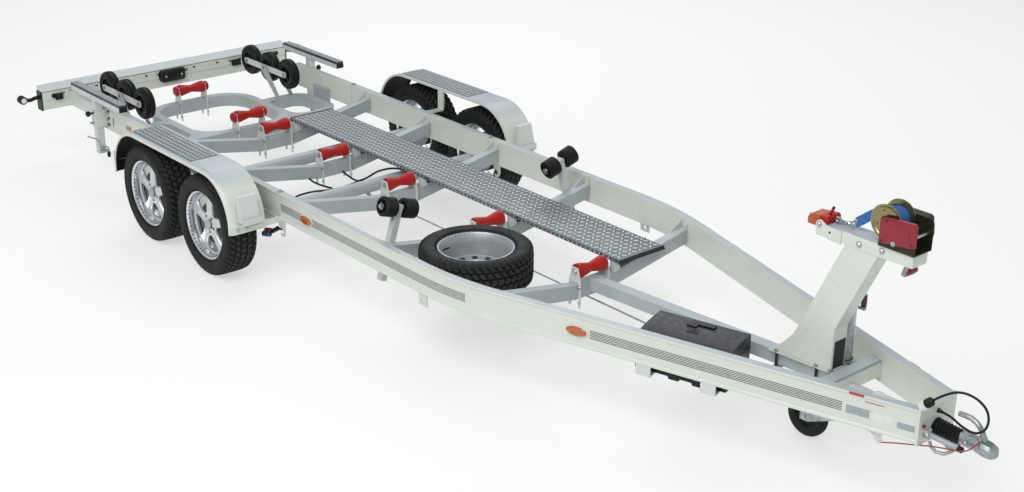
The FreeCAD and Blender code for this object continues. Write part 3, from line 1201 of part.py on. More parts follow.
def toolbox():
    """The toolbox's tub with its lid hinge's knuckles."""
    tub = beside_rail("tub", "box_long", "box_deep", "box_high", "0", "box_off", "box_low")
    space = beside_rail("tub_space", "box_long - 2 * box_wall", "box_deep - 2 * box_wall",
                        "box_high", "box_wall", "box_off + box_wall", "box_low + box_wall")
    parts = [cut("tub_open", tub, space)]
    for x in ("box_long / 4", "box_long * 3 / 4 - knuckle_long"):
        parts.append(hinge_bar("lid_knuckle", "knuckle", "knuckle_long", x))
        parts.append(beside_rail("knuckle_web", "knuckle_long", "box_wall / 2 + lid_out", "knuckle",
                                 x, "box_off + box_deep - box_wall / 2",
                                 "box_low + box_high - knuckle"))
    bore = hinge_bar("knuckle_bore", "lid_pin + pin_gap", "box_long", "0")
    return cut("tub_bored", fuse("tub_whole", parts), bore)


def toolbox_lid():
    """The toolbox's lid, hollow below."""
    top = "box_low + box_high + box_slit"
    lid = beside_rail("lid", "box_long", "box_deep", "box_lid", "0", "box_off", top)
    high = number(top + " + box_wall / 4")
    lid = rounded("lid_round", lid, "box_lid * 0.6",
                  lambda edge: all(vertex.Point.z > high for vertex in edge.Vertexes))
    space = beside_rail("lid_space", "box_long - 2 * box_wall", "box_deep - 2 * box_wall",
                        "box_lid * 0.5", "box_wall", "box_off + box_wall", top)
    parts = [cut("lid_open", lid, space),
             hinge_bar("lid_hinge_pin", "lid_pin", "box_long / 2 + 2 * knuckle_long",
                       "box_long / 4 - knuckle_long")]
    for x in ("box_long / 4 - knuckle_long", "box_long * 3 / 4 + knuckle_long / 4"):
        parts.append(beside_rail("lid_lug", "knuckle_long * 3 / 4", "box_wall / 2 + lid_out", "lid_pin",
                                 x, "box_off + box_deep - box_wall / 2", top))
    return fuse("lid_whole", parts)


def small_brackets():
    """The toolbox's two brackets, the spare wheel's carrier and the lashing eyes."""
    brackets = [spare_carrier()] + lashing_eyes()
    for x in ("bracket_in", "box_long - bracket_long - bracket_in"):
        shelf = beside_rail("bracket_shelf", "bracket_long", "rail_wide + box_off + box_deep * 0.8",
                            "plate", x, "-rail_wide", "box_low - plate")
        web = beside_rail("bracket_web", "bracket_long", "plate", "rail_bottom - box_low", x,
                          "-rail_wide", "box_low")
        brackets.append(fuse("bracket_one", [shelf, web]))
    return group("brackets_all", brackets)


def lashing_eyes():
    """The lashing eyes under the rails, one each side."""
    plate = box("eye_plate", "eye_long", "eye_thick", "eye_drop", at("lash_x - eye_long / 2"),
                "-rail_outer", "rail_bottom - eye_drop")
    hole = cylinder("eye_hole", "lash_hole", "3 * eye_thick", at("lash_x"), "-rail_outer - eye_thick",
                    "rail_bottom - eye_axis", FACING_Y)
    eye = cut("eye_right", plate, hole)
    return [eye, mirrored("eye_left", eye)]


def brake_rod():
    """The brake rod under the cross members with its end lugs, in pieces to be joined."""
    rod = cylinder("rod_bar", "rod_radius", "draw_rear - rod_rear", at("rod_rear"), "rod_y",
                   "rod_z", FACING_X)
    low = "(rod_z - rod_radius - rod_link / 2)"
    start = "%s + axle_lead - rod_lug / 2" % FRONT_WHEEL
    side = "rod_y - rod_wide / 2"
    rear = box("rod_rear_lug", "rod_lug", "rod_wide", "%s - axle_radius - %s" % (AXLE_Z, low),
               start, side, low)
    link = box("rod_link", "%s - (%s)" % (at("rod_rear"), start), "rod_wide", "rod_link", start, side, low)
    front = box("rod_front_lug", "rod_end", "-rod_y + rod_wide", "head_z - %s" % low,
                at("draw_rear"), "rod_y - rod_wide", low)
    return [rod, rear, link, front]


def checked():
    """Stops if any object failed or any piece isn't a valid solid."""
    DOC.recompute()
    failed = [item.Name for item in DOC.Objects if {"Invalid", "Error"} & set(item.State)]
    for name, thing in NODES.items():
        shape = thing.Shape
        if shape.isNull() or not shape.isValid() or not shape.Solids:
            failed.append(name)
    if failed:
        raise SystemExit("failed: " + ", ".join(failed))


def main():
    """Builds every piece, checks it and writes it."""
    right = node("rail_right", rail())
    left = node("rail_left", mirrored("rail_twin", right))
    rails = fuse("rails_both", [right, left])
    members = group("members_raw", [cross_member("member_raw", station) for station in ROLLERS])
    node("cross_members", cut("members_trimmed", members, rails))
    node("keel_cradle", cradle())
    brackets = [keel_bracket("keel_bracket", at(station), "member_top", "member_high")
                for station in ROLLERS]
    brackets += [keel_bracket("cradle_bracket", x, "cradle_top", "cradle_high")
                 for x in (REAR_ROLLER, FRONT_ROLLER)]
    node("roller_brackets", group("keel_brackets", brackets))
    for count, x in enumerate((REAR_ROLLER, FRONT_ROLLER) + tuple(at(s) for s in ROLLERS), start=1):
        node("keel_roller_%d" % count, keel_roller("keel_roller", x))
    node("walkway", walkway())
    node("centre_beam", cut("beam_trimmed", centre_beam(), rails))
    node("winch_post", winch_post())
    node("winch_frame", winch_frame())
    node("winch_drum", winch_drum())
    node("winch_crank", winch_crank())
    node("bow_stop", bow_stop())
    node("axles", group("axles_both", [axle("axle_front", FRONT_WHEEL), axle("axle_rear", REAR_WHEEL)]))
    wheel_y = "-(wheel_outer - tyre_wide / 2)"
    for end, x in (("front", FRONT_WHEEL), ("rear", REAR_WHEEL)):
        for kind, make in (("tyre", tyre), ("rim", alloy_rim)):
            piece = node("%s_%s_right" % (kind, end), make("road_" + kind, x, wheel_y, "tyre_radius"))
            node("%s_%s_left" % (kind, end), mirrored("road_twin", piece))
    one = fender()
    node("fenders", group("fenders_both", [one, mirrored("fender_twin", one)]))
    piece = node("slip_rocker_right", rocker())
    node("slip_rocker_left", mirrored("rocker_twin", piece))
    for side, sign in (("right", "-"), ("left", "")):
        for place_name, offset in (("rear", "- slip_pitch"), ("middle", ""), ("front", "+ slip_pitch")):
            node("slip_wheel_%s_%s" % (place_name, side),
                 slip_wheel("slip_wheel", at("slip_mid %s" % offset), sign))
    for name, make in (("side_support", side_support), ("guide_rollers", guide_rollers)):
        piece = node(name + "_right", make())
        node(name + "_left", mirrored(name + "_twin", piece))
    sleeve = support_sleeve()
    post = guide_post()
    node("support_sleeves", group("sleeves_both", [sleeve, mirrored("sleeve_twin", sleeve)]))
    node("guide_posts", group("guides_both", [post, mirrored("guide_twin", post)]))
    node("light_beam", light_beam())
    node("lamps", lamps())
    node("jockey_tube", jockey_tube())
    node("jockey_leg", jockey_leg())
    node("jockey_fork", jockey_fork())
    node("jockey_wheel", jockey_wheel())
    node("coupling_frame", cut("draw_trimmed", coupling_frame(), rails))
    node("coupling_head", coupling_head())
    node("bellows", bellows())
    middle = "spare_z + tyre_wide / 2"
    flat = FreeCAD.Rotation(FreeCAD.Vector(1, 0, 0), 90)
    node("spare_tyre", tyre("spare_tyre_turned", at("spare_x"), "spare_y", middle, flat))
    node("spare_rim", rim_parts("spare_rim_turned", at("spare_x"), "spare_y", middle, flat))
    node("toolbox", toolbox())
    node("toolbox_lid", toolbox_lid())
    node("small_brackets", small_brackets())
    node("plug", plug())
    node("cable", cable())
    checked()
    os.makedirs("parts", exist_ok=True)
    for name, thing in NODES.items():
        thing.Shape.exportStep("parts/%s.step" % name)
        print("%-24s solids %2d volume %10.0f" % (name, len(thing.Shape.Solids), thing.Shape.Volume))
    whole = Part.makeCompound([thing.Shape for thing in NODES.values()]).BoundBox
    print("nodes", len(NODES), whole)


main()
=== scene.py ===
"""The looks of a tandem-axle boat trailer with keel rollers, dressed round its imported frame.

Places are in millimetres, as in the part's source: x is a station, the distance forward of
the axles' midpoint, y is to the left-hand side of the centre line and z is above the ground.
"""

import json
import logging
from collections.abc import Callable, Iterator, Sequence
from dataclasses import dataclass
from enum import Enum
from functools import cached_property
from math import asin, cos, pi, radians, sin, sqrt, tan

import bmesh
import bpy
from mathutils import Matrix, Vector

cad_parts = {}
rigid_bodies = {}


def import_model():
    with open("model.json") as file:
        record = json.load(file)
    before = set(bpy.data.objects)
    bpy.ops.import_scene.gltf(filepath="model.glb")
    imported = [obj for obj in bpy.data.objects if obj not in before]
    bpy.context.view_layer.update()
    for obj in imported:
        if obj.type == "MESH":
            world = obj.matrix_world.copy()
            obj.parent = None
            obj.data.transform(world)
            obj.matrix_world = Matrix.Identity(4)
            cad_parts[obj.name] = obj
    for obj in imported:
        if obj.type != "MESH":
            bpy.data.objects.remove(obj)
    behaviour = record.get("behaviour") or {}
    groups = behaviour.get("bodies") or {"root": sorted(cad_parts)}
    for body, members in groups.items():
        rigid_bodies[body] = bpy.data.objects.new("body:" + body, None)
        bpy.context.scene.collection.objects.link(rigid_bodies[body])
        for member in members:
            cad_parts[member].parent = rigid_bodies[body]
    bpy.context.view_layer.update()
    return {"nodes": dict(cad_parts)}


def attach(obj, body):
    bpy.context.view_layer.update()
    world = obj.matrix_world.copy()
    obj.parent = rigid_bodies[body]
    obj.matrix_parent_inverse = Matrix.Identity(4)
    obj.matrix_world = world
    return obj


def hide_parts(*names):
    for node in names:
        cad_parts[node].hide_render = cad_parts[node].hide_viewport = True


LOG = logging.getLogger("boat_trailer")
# The axles' midpoint on the frame's X, and the way from a station's millimetres to the frame.
AXLE_MID = -1386.5
TO_METRES = Matrix.Scale(0.001, 4) @ Matrix.Translation((AXLE_MID, 0.0, 0.0))
# The cross members' rear edges, and the swept arms' height: flat in the middle, rising to the rails.
MEMBERS = (-655.0, 51.0, 774.0, 1634.0, 2498.0)
MEMBER_TOP = 388.0
MEMBER_RISE = 117.0
MEMBER_FLAT = 130.0
# The lighting plug's park: the foot of its holder on the nose plate and its axis, 45 degrees up.
PLUG_FOOT = Vector((4691.0, -120.0, 568.0))
PLUG_AXIS = Vector((1.0, 0.0, 1.0)).normalized()
# Both ways along an axis.
SIGNS = (-1, 1)

Point = Sequence[float]
Profile = Sequence[tuple[float, float]]
Socket = bpy.types.NodeSocket


class Way(Enum):
    """A way along an axis, by its sign."""

    @property
    def word(self) -> str:
        """The way's name in pieces and bodies."""
        return self.name.lower()


class Side(Way):
    """The trailer's two sides, by the sign of y."""

    RIGHT = -1
    LEFT = 1


class End(Way):
    """The front and rear wheel of a pair, by the sign of x."""

    FRONT = 1
    REAR = -1


def linear(colour: str) -> tuple[float, float, float, float]:
    """Turns an sRGB hex colour to linear light.

    Args:
        colour: The colour as "#rrggbb".

    Returns:
        Red, green, blue and alpha, from 0 to 1.
    """
    channels = [int(colour[i : i + 2], 16) / 255 for i in (1, 3, 5)]
    low = [c / 12.92 if c <= 0.04045 else ((c + 0.055) / 1.055) ** 2.4 for c in channels]
    return (low[0], low[1], low[2], 1.0)


class Shader:
    """The node tree of a material or of the world, in the making."""

    def __init__(self, owner: bpy.types.Material | bpy.types.World) -> None:
        """Takes out the nodes that the owner starts with."""
        owner.use_nodes = True
        self.tree = owner.node_tree
        self.tree.nodes.clear()

    def node(self, kind: str, inputs: dict | None = None, **settings) -> bpy.types.Node:
        """Adds a shader node with its settings, values and links.

        Args:
            kind: The node's type, without "ShaderNode".
            inputs: A value or an output socket for each input, by name or number.
            settings: The node's own settings.

        Returns:
            The new node.
        """
        made = self.tree.nodes.new("ShaderNode" + kind)
        for name, value in settings.items():
            setattr(made, name, value)
        for name, value in (inputs or {}).items():
            if isinstance(value, Socket):
                self.tree.links.new(value, made.inputs[name])
            else:
                made.inputs[name].default_value = value
        return made

    @cached_property
    def place(self) -> Socket:
        """The piece's own coordinates, in metres."""
        return self.node("TexCoord").outputs["Object"]

    def noise(self, size_mm: float, detail: float, rough: float = 0.5) -> Socket:
        """Soft noise from 0 to 1 with patches of a size, and finer layers over them."""
        return self.node("TexNoise", {"Vector": self.place, "Scale": 1000 / size_mm, "Detail": detail,
                                      "Roughness": rough}).outputs["Fac"]

    def spread(self, value: Socket, start: float, end: float, low: float, high: float) -> Socket:
        """Maps a value from the range between start and end to the one between low and high."""
        return self.node("MapRange", {"Value": value, "From Min": start, "From Max": end, "To Min": low,
                                      "To Max": high}).outputs["Result"]

    def blend(self, share: Socket, first: object, second: object) -> Socket:
        """Mixes a share of the second colour into the first, each a socket or four numbers."""
        return self.node("Mix", {0: share, 6: first, 7: second}, data_type="RGBA").outputs[2]


def show(name: str, data: bpy.types.ID) -> bpy.types.Object:
    """Puts a mesh, curve, camera or lamp into the scene as an object."""
    made = bpy.data.objects.new(name, data)
    bpy.context.scene.collection.objects.link(made)
    return made


def placed(*columns: Vector) -> Matrix:
    """A place from its three axes and its origin."""
    return Matrix([*zip(*columns), (0.0, 0.0, 0.0, 1.0)])


def on_side(side: Side, place: Matrix) -> Matrix:
    """A place of the right-hand side, mirrored for the left."""
    return place if side is Side.RIGHT else Matrix.Scale(-1, 4, (0, 1, 0)) @ place


def spokes(count: int, start: float = 0.0) -> Iterator[tuple[Vector, Vector]]:
    """Directions spread evenly round a wheel whose axle lies along y.

    Args:
        count: How many there are.
        start: Where the first one stands, as a share of the step.

    Yields:
        The way out of the hub and the way across it.
    """
    for k in range(count):
        angle = 2 * pi * (k + start) / count
        out = Vector((cos(angle), 0, sin(angle)))
        yield out, Vector((-out.z, 0, out.x))


def both_ways(half: Profile) -> list[tuple[float, float]]:
    """A turned profile and its mirror image on the axis's other side."""
    return [*half, *((-t, r) for t, r in reversed(half))]


def smooth(line: Sequence[Point], parts: int = 4) -> list[Vector]:
    """Rounds a line through its points, each span in parts.

    Args:
        line: The points that it runs through.
        parts: How many pieces each span has.

    Returns:
        The rounded line's points.
    """
    ends = [Vector(p) for p in (line[0], *line, line[-1])]
    made = []
    for a, b, c, d in zip(ends, ends[1:], ends[2:], ends[3:]):
        for k in range(parts):
            t = k / parts
            made.append(0.5 * (2 * b + (c - a) * t + (2 * a - 5 * b + 4 * c - d) * t**2
                               + (3 * b - a - 3 * c + d) * t**3))
    return made + [ends[-1]]


@dataclass(frozen=True)
class Finish:
    """A surface: its colour, its gloss and the unevenness that its making and use leave."""

    name: str
    colour: str
    roughness: float
    patch_colour: str
    patch_share: float
    patch_mm: float = 180.0
    metallic: float = 0.0
    grain_mm: float = 6.0
    grain_deep_mm: float = 0.05
    rough_spread: float = 0.08
    coat: float = 0.0
    coat_roughness: float = 0.1
    specular: float = 0.5

    def colour_of(self, shader: Shader) -> Socket:
        """The base colour: soft patches of a second colour over the first."""
        share = shader.spread(shader.noise(self.patch_mm, 6.0, 0.65), 0.35, 0.75, 0.0, self.patch_share)
        return shader.blend(share, linear(self.colour), linear(self.patch_colour))

    def height_of(self, shader: Shader) -> Socket:
        """The fine relief, from 0 to 1, of the surface's grain."""
        return shader.noise(self.grain_mm, 3.0)

    def material(self) -> bpy.types.Material:
        """The finish as a material, made once.

        Returns:
            The material, which has the finish's name.
        """
        made = bpy.data.materials.get(self.name)
        if made is not None:
            return made
        made = bpy.data.materials.new(self.name)
        shader = Shader(made)
        rough = shader.spread(shader.noise(self.patch_mm * 0.4, 4.0), 0.3, 0.7,
                              max(self.roughness - self.rough_spread, 0.02),
                              min(self.roughness + self.rough_spread, 1.0))
        bump = shader.node("Bump", {"Height": self.height_of(shader), "Strength": 1.0,
                                    "Distance": self.grain_deep_mm * 0.001})
        surface = shader.node("BsdfPrincipled", {
            "Base Color": self.colour_of(shader), "Roughness": rough, "Metallic": self.metallic,
            "Specular IOR Level": self.specular, "Normal": bump.outputs["Normal"],
            "Coat Weight": self.coat, "Coat Roughness": self.coat_roughness})
        shader.node("OutputMaterial", {"Surface": surface.outputs["BSDF"]})
        return made


@dataclass(frozen=True)
class SkyReflectionCoat(Finish):
    """Powder coat with a painted sky reflection: a pale blue-grey blended into the faces that look up."""

    sky_reflection: str = "#a9adac"
    sky_reflection_share: float = 0.5

    def colour_of(self, shader: Shader) -> Socket:
        """The coat's colour with the painted sky reflection on its level faces."""
        base = super().colour_of(shader)
        facing = shader.node("SeparateXYZ", {0: shader.node("NewGeometry").outputs["Normal"]})
        # Painted sky reflection: the more a face looks up, the more of the blue-grey it takes.
        level = shader.spread(facing.outputs["Z"], 0.7, 0.95, 0.0, self.sky_reflection_share)
        return shader.blend(level, base, linear(self.sky_reflection))


@dataclass(frozen=True)
class ZincPlate(Finish):
    """Zinc-coated steel: grey crystals of slightly different brightness, a satin metal gloss."""

    spangle_mm: float = 14.0
    spangle_colour: str = "#c9ced0"

    def colour_of(self, shader: Shader) -> Socket:
        """The coating's colour, which differs from crystal to crystal."""
        base = super().colour_of(shader)
        cells = shader.node("TexVoronoi", {"Vector": shader.place, "Scale": 1000 / self.spangle_mm})
        tone = shader.node("SeparateColor", {0: cells.outputs["Color"]})
        share = shader.spread(tone.outputs["Red"], 0.0, 1.0, 0.0, 0.6)
        return shader.blend(share, base, linear(self.spangle_colour))


@dataclass(frozen=True)
class WovenStrap(Finish):
    """Polyester webbing: ribs across the strap from its weave, a soft sheen and no shine."""

    rib_mm: float = 5.0

    def height_of(self, shader: Shader) -> Socket:
        """The weave's ribs, drawn coarser than the real 2 mm so that they show."""
        return shader.node("TexWave", {"Vector": shader.place, "Scale": 1000 / self.rib_mm / 20,
                                       "Distortion": 0.6}, bands_direction="DIAGONAL").outputs["Fac"]


# Powder coat over steel: an even off-white with a faint orange peel and a soft gloss, and a painted blue-grey
# sky reflection on its upward faces.
SHELL = SkyReflectionCoat("off_white_powder_coat", "#d2d5cc", 0.36, "#a6aaa4", 0.14, grain_mm=9.0,
                   grain_deep_mm=0.10, coat=0.15, sky_reflection="#9fa9b0", sky_reflection_share=0.85)
# The same coat in the pale grey of the smaller fittings, with the painted sky reflection on its upward faces.
PALE = SkyReflectionCoat("pale_powder_coat", "#ced2cf", 0.40, "#888c88", 0.2, grain_mm=9.0, grain_deep_mm=0.12,
                  sky_reflection="#b2b8ba", sky_reflection_share=0.45)
# Pale grey chassis coat, thicker and duller, with grime in patches and the painted sky reflection on its
# upward faces.
CHASSIS = SkyReflectionCoat("pale_grey_chassis_coat", "#a9afb0", 0.46, "#767d7f", 0.3, grain_mm=11.0,
                     grain_deep_mm=0.15, sky_reflection="#aab2b7", sky_reflection_share=0.6)
# Zinc-plated steel, dipped: cool grey with pale crystals.
ZINC = ZincPlate("zinc_plated_steel", "#9da2a5", 0.38, "#6b6e70", 0.3, metallic=0.9, rough_spread=0.12)
# Bright plated bolts and pins, smoother and lighter.
BRIGHT = Finish("bright_plated_steel", "#b6babc", 0.27, "#6d7073", 0.25, metallic=1.0)
# Yellow passivated zinc: gold with green and pink clouds.
YELLOW_ZINC = Finish("yellow_passivated_zinc", "#958c64", 0.27, "#5e6a52", 0.6, metallic=0.95,
                     patch_mm=75.0, grain_deep_mm=0.02)
# The same plating on the winch's frame, painted dark as the shade that fills the frame between the covers.
SHADE_DARKENED_FRAME_ZINC = Finish("greased_winch_frame", "#3d3a28", 0.4, "#17160f", 0.6, metallic=0.6, patch_mm=60.0,
                      specular=0.3)
# Black oxide and black paint on small steel parts: dark with a dull edge shine.
BLACK_STEEL = Finish("black_painted_steel", "#17191a", 0.42, "#4a4a48", 0.15, specular=0.3)
# Aluminium tread plate, dulled by use: the sheet is grey with the painted sky reflection on top, and the
# raised bars are bright, partly rubbed by use and partly a painted highlight.
TREAD_SHEET = SkyReflectionCoat("tread_plate_sheet", "#686e72", 0.5, "#43484b", 0.45, metallic=0.45,
                         sky_reflection="#7b8286", sky_reflection_share=0.5)
TREAD_BAR = Finish("tread_plate_bars", "#dcdfe0", 0.36, "#8e9396", 0.4, metallic=0.65, patch_mm=90.0)
# Cast aluminium wheel under silver lacquer: fine sparkle, a clear coat on top.
ALLOY = Finish("lacquered_alloy", "#cfd2d3", 0.32, "#9ea2a5", 0.25, metallic=0.6, grain_mm=3.0,
               grain_deep_mm=0.02, coat=0.5)
# The wheel's turned lip, polished bare metal.
POLISHED = Finish("polished_alloy_lip", "#dcdedf", 0.18, "#a5a8aa", 0.2, metallic=0.9)
# Pressed steel wheel in silver paint.
STEEL_WHEEL = Finish("silver_painted_steel", "#b2b6b9", 0.42, "#6d7072", 0.3, metallic=0.45)
# Tyre rubber: matt black with a faint grey bloom.
TYRE = Finish("road_tyre_rubber", "#101215", 0.62, "#2c2b29", 0.15, grain_mm=4.0, grain_deep_mm=0.12,
              patch_mm=140.0, specular=0.28)
# The tread's blocks, brown-grey with road dust; the groove floors keep the darker sidewall rubber as painted
# shade.
TYRE_BLOCK = Finish("dusty_tread_rubber", "#3d3b35", 0.75, "#1a1917", 0.5, grain_mm=4.0,
                    grain_deep_mm=0.12, patch_mm=70.0, specular=0.2)
# Moulded black rubber of small rollers and bellows, a little shinier.
RUBBER = Finish("moulded_black_rubber", "#0e0f10", 0.5, "#333436", 0.2, grain_mm=4.0, grain_deep_mm=0.1,
                patch_mm=60.0, specular=0.25)
# Red polyvinyl roller: moulded, waxy, scuffed where the keel ran.
RED_VINYL = Finish("red_vinyl_roller", "#ad1406", 0.45, "#7c0d05", 0.4, grain_mm=7.0, grain_deep_mm=0.15,
                   patch_mm=45.0, specular=0.3)
# Amber-orange bow stop rubber.
ORANGE_RUBBER = Finish("orange_bow_rubber", "#b9501a", 0.42, "#7d2f0e", 0.4, patch_mm=60.0)
# Crimson nylon of the winch's near cover, its crank's grip and the flushing connection.
RED_NYLON = Finish("crimson_moulded_nylon", "#8c1526", 0.34, "#640f1c", 0.35, patch_mm=50.0)
# Darker nylon of the winch's far cover, oily from the gears, and of the slip wheels' hubs.
DARK_NYLON = Finish("dark_red_moulded_nylon", "#4c121c", 0.3, "#16090b", 0.6, patch_mm=50.0, coat=0.2)
# Blue-black polypropylene of the toolbox, finely pebbled.
BOX_PLASTIC = Finish("pebbled_box_plastic", "#0a1019", 0.34, "#273246", 0.15, grain_mm=5.0,
                     grain_deep_mm=0.12, patch_mm=70.0, specular=0.3)
# Smooth black plastic of caps, knobs and plugs.
BLACK_PLASTIC = Finish("moulded_black_plastic", "#101113", 0.42, "#393b3e", 0.18, patch_mm=50.0,
                       specular=0.3)
# Slate rubber strip on the side supports, polished by hulls.
GREY_RUBBER = Finish("slate_strip_rubber", "#2b333d", 0.32, "#59636f", 0.3, patch_mm=60.0)
# Clear-moulded acrylic lamp lenses: deep colour under a glossy skin.
AMBER_LENS = Finish("amber_lens", "#b0570a", 0.16, "#8f420c", 0.4, grain_mm=5.0, grain_deep_mm=0.25,
                    coat=0.8, patch_mm=20.0)
RED_LENS = Finish("red_lens", "#b3161a", 0.16, "#6d0a0e", 0.4, grain_mm=5.0, grain_deep_mm=0.25, coat=0.8,
                  patch_mm=20.0)
CLEAR_LENS = Finish("clear_lens", "#dfe3e4", 0.12, "#a8adb0", 0.4, grain_mm=5.0, grain_deep_mm=0.25,
                    coat=0.8, patch_mm=20.0)
# Blue polyester webbing of the winch.
STRAP = WovenStrap("blue_winch_webbing", "#2e649f", 0.75, "#214f8c", 0.5, patch_mm=40.0,
                   grain_deep_mm=0.5)
# Printed vinyl: the rail's stripes, and stickers without any print.
STRIPE = Finish("slate_vinyl_stripe", "#222a31", 0.35, "#20282f", 0.3)
STICKER = Finish("blank_grey_sticker", "#9aa2a6", 0.3, "#7d858a", 0.3, patch_mm=30.0)
LABEL = Finish("blank_white_sticker", "#d9dcda", 0.3, "#b9bdbc", 0.3, patch_mm=30.0)
RED_STICKER = Finish("thin_red_stripe", "#b5483c", 0.35, "#8a2d24", 0.3)
GREEN_STICKER = Finish("blank_green_sticker", "#3f7f5c", 0.35, "#2d5c42", 0.3, patch_mm=20.0)
# Brake drum in black paint with rust bloom.
DRUM = Finish("painted_brake_drum", "#2a2b2d", 0.55, "#5d4836", 0.35, metallic=0.3, patch_mm=60.0)
# Blue plastic cap of the flushing connection.
BLUE_PLASTIC = Finish("blue_moulded_cap", "#2f63a8", 0.35, "#1f447a", 0.3, patch_mm=20.0)
# Red-sheathed wire rope.
RED_WIRE = Finish("red_sheathed_wire", "#a0392f", 0.4, "#6d1814", 0.3, patch_mm=30.0)
# Cast head of the coupling: dull grey zinc flake over rough casting.
CASTING = ZincPlate("zinc_flaked_casting", "#8f9698", 0.42, "#5c6264", 0.35, metallic=0.75, grain_mm=5.0,
                    grain_deep_mm=0.25, spangle_mm=9.0)

# The CAD nodes that keep their shape, with their finish and their rounding in millimetres.
DRESSED = (
    (SHELL, 2.0, "rail_right", "rail_left"),
    (SHELL, 2.5, "light_beam"),
    (SHELL, 6.0, "winch_post"),
    (CHASSIS, 2.0, "axles"),
    (CHASSIS, 3.0, "cross_members", "keel_cradle", "centre_beam"),
    (PALE, 1.0, "roller_brackets", "slip_rocker_right", "slip_rocker_left", "small_brackets"),
    (PALE, 2.0, "side_support_right", "side_support_left", "support_sleeves", "guide_posts"),
    (ZINC, 1.0, "jockey_tube", "jockey_leg", "jockey_fork"),
    (ZINC, 1.5, "winch_crank"),
    # The winch frame's dark finish is painted shade.
    (SHADE_DARKENED_FRAME_ZINC, 1.5, "winch_frame"),
    (BOX_PLASTIC, 4.0, "toolbox"),
)
# How near their corners have to be to become one, in metres.
WELD = 0.00002


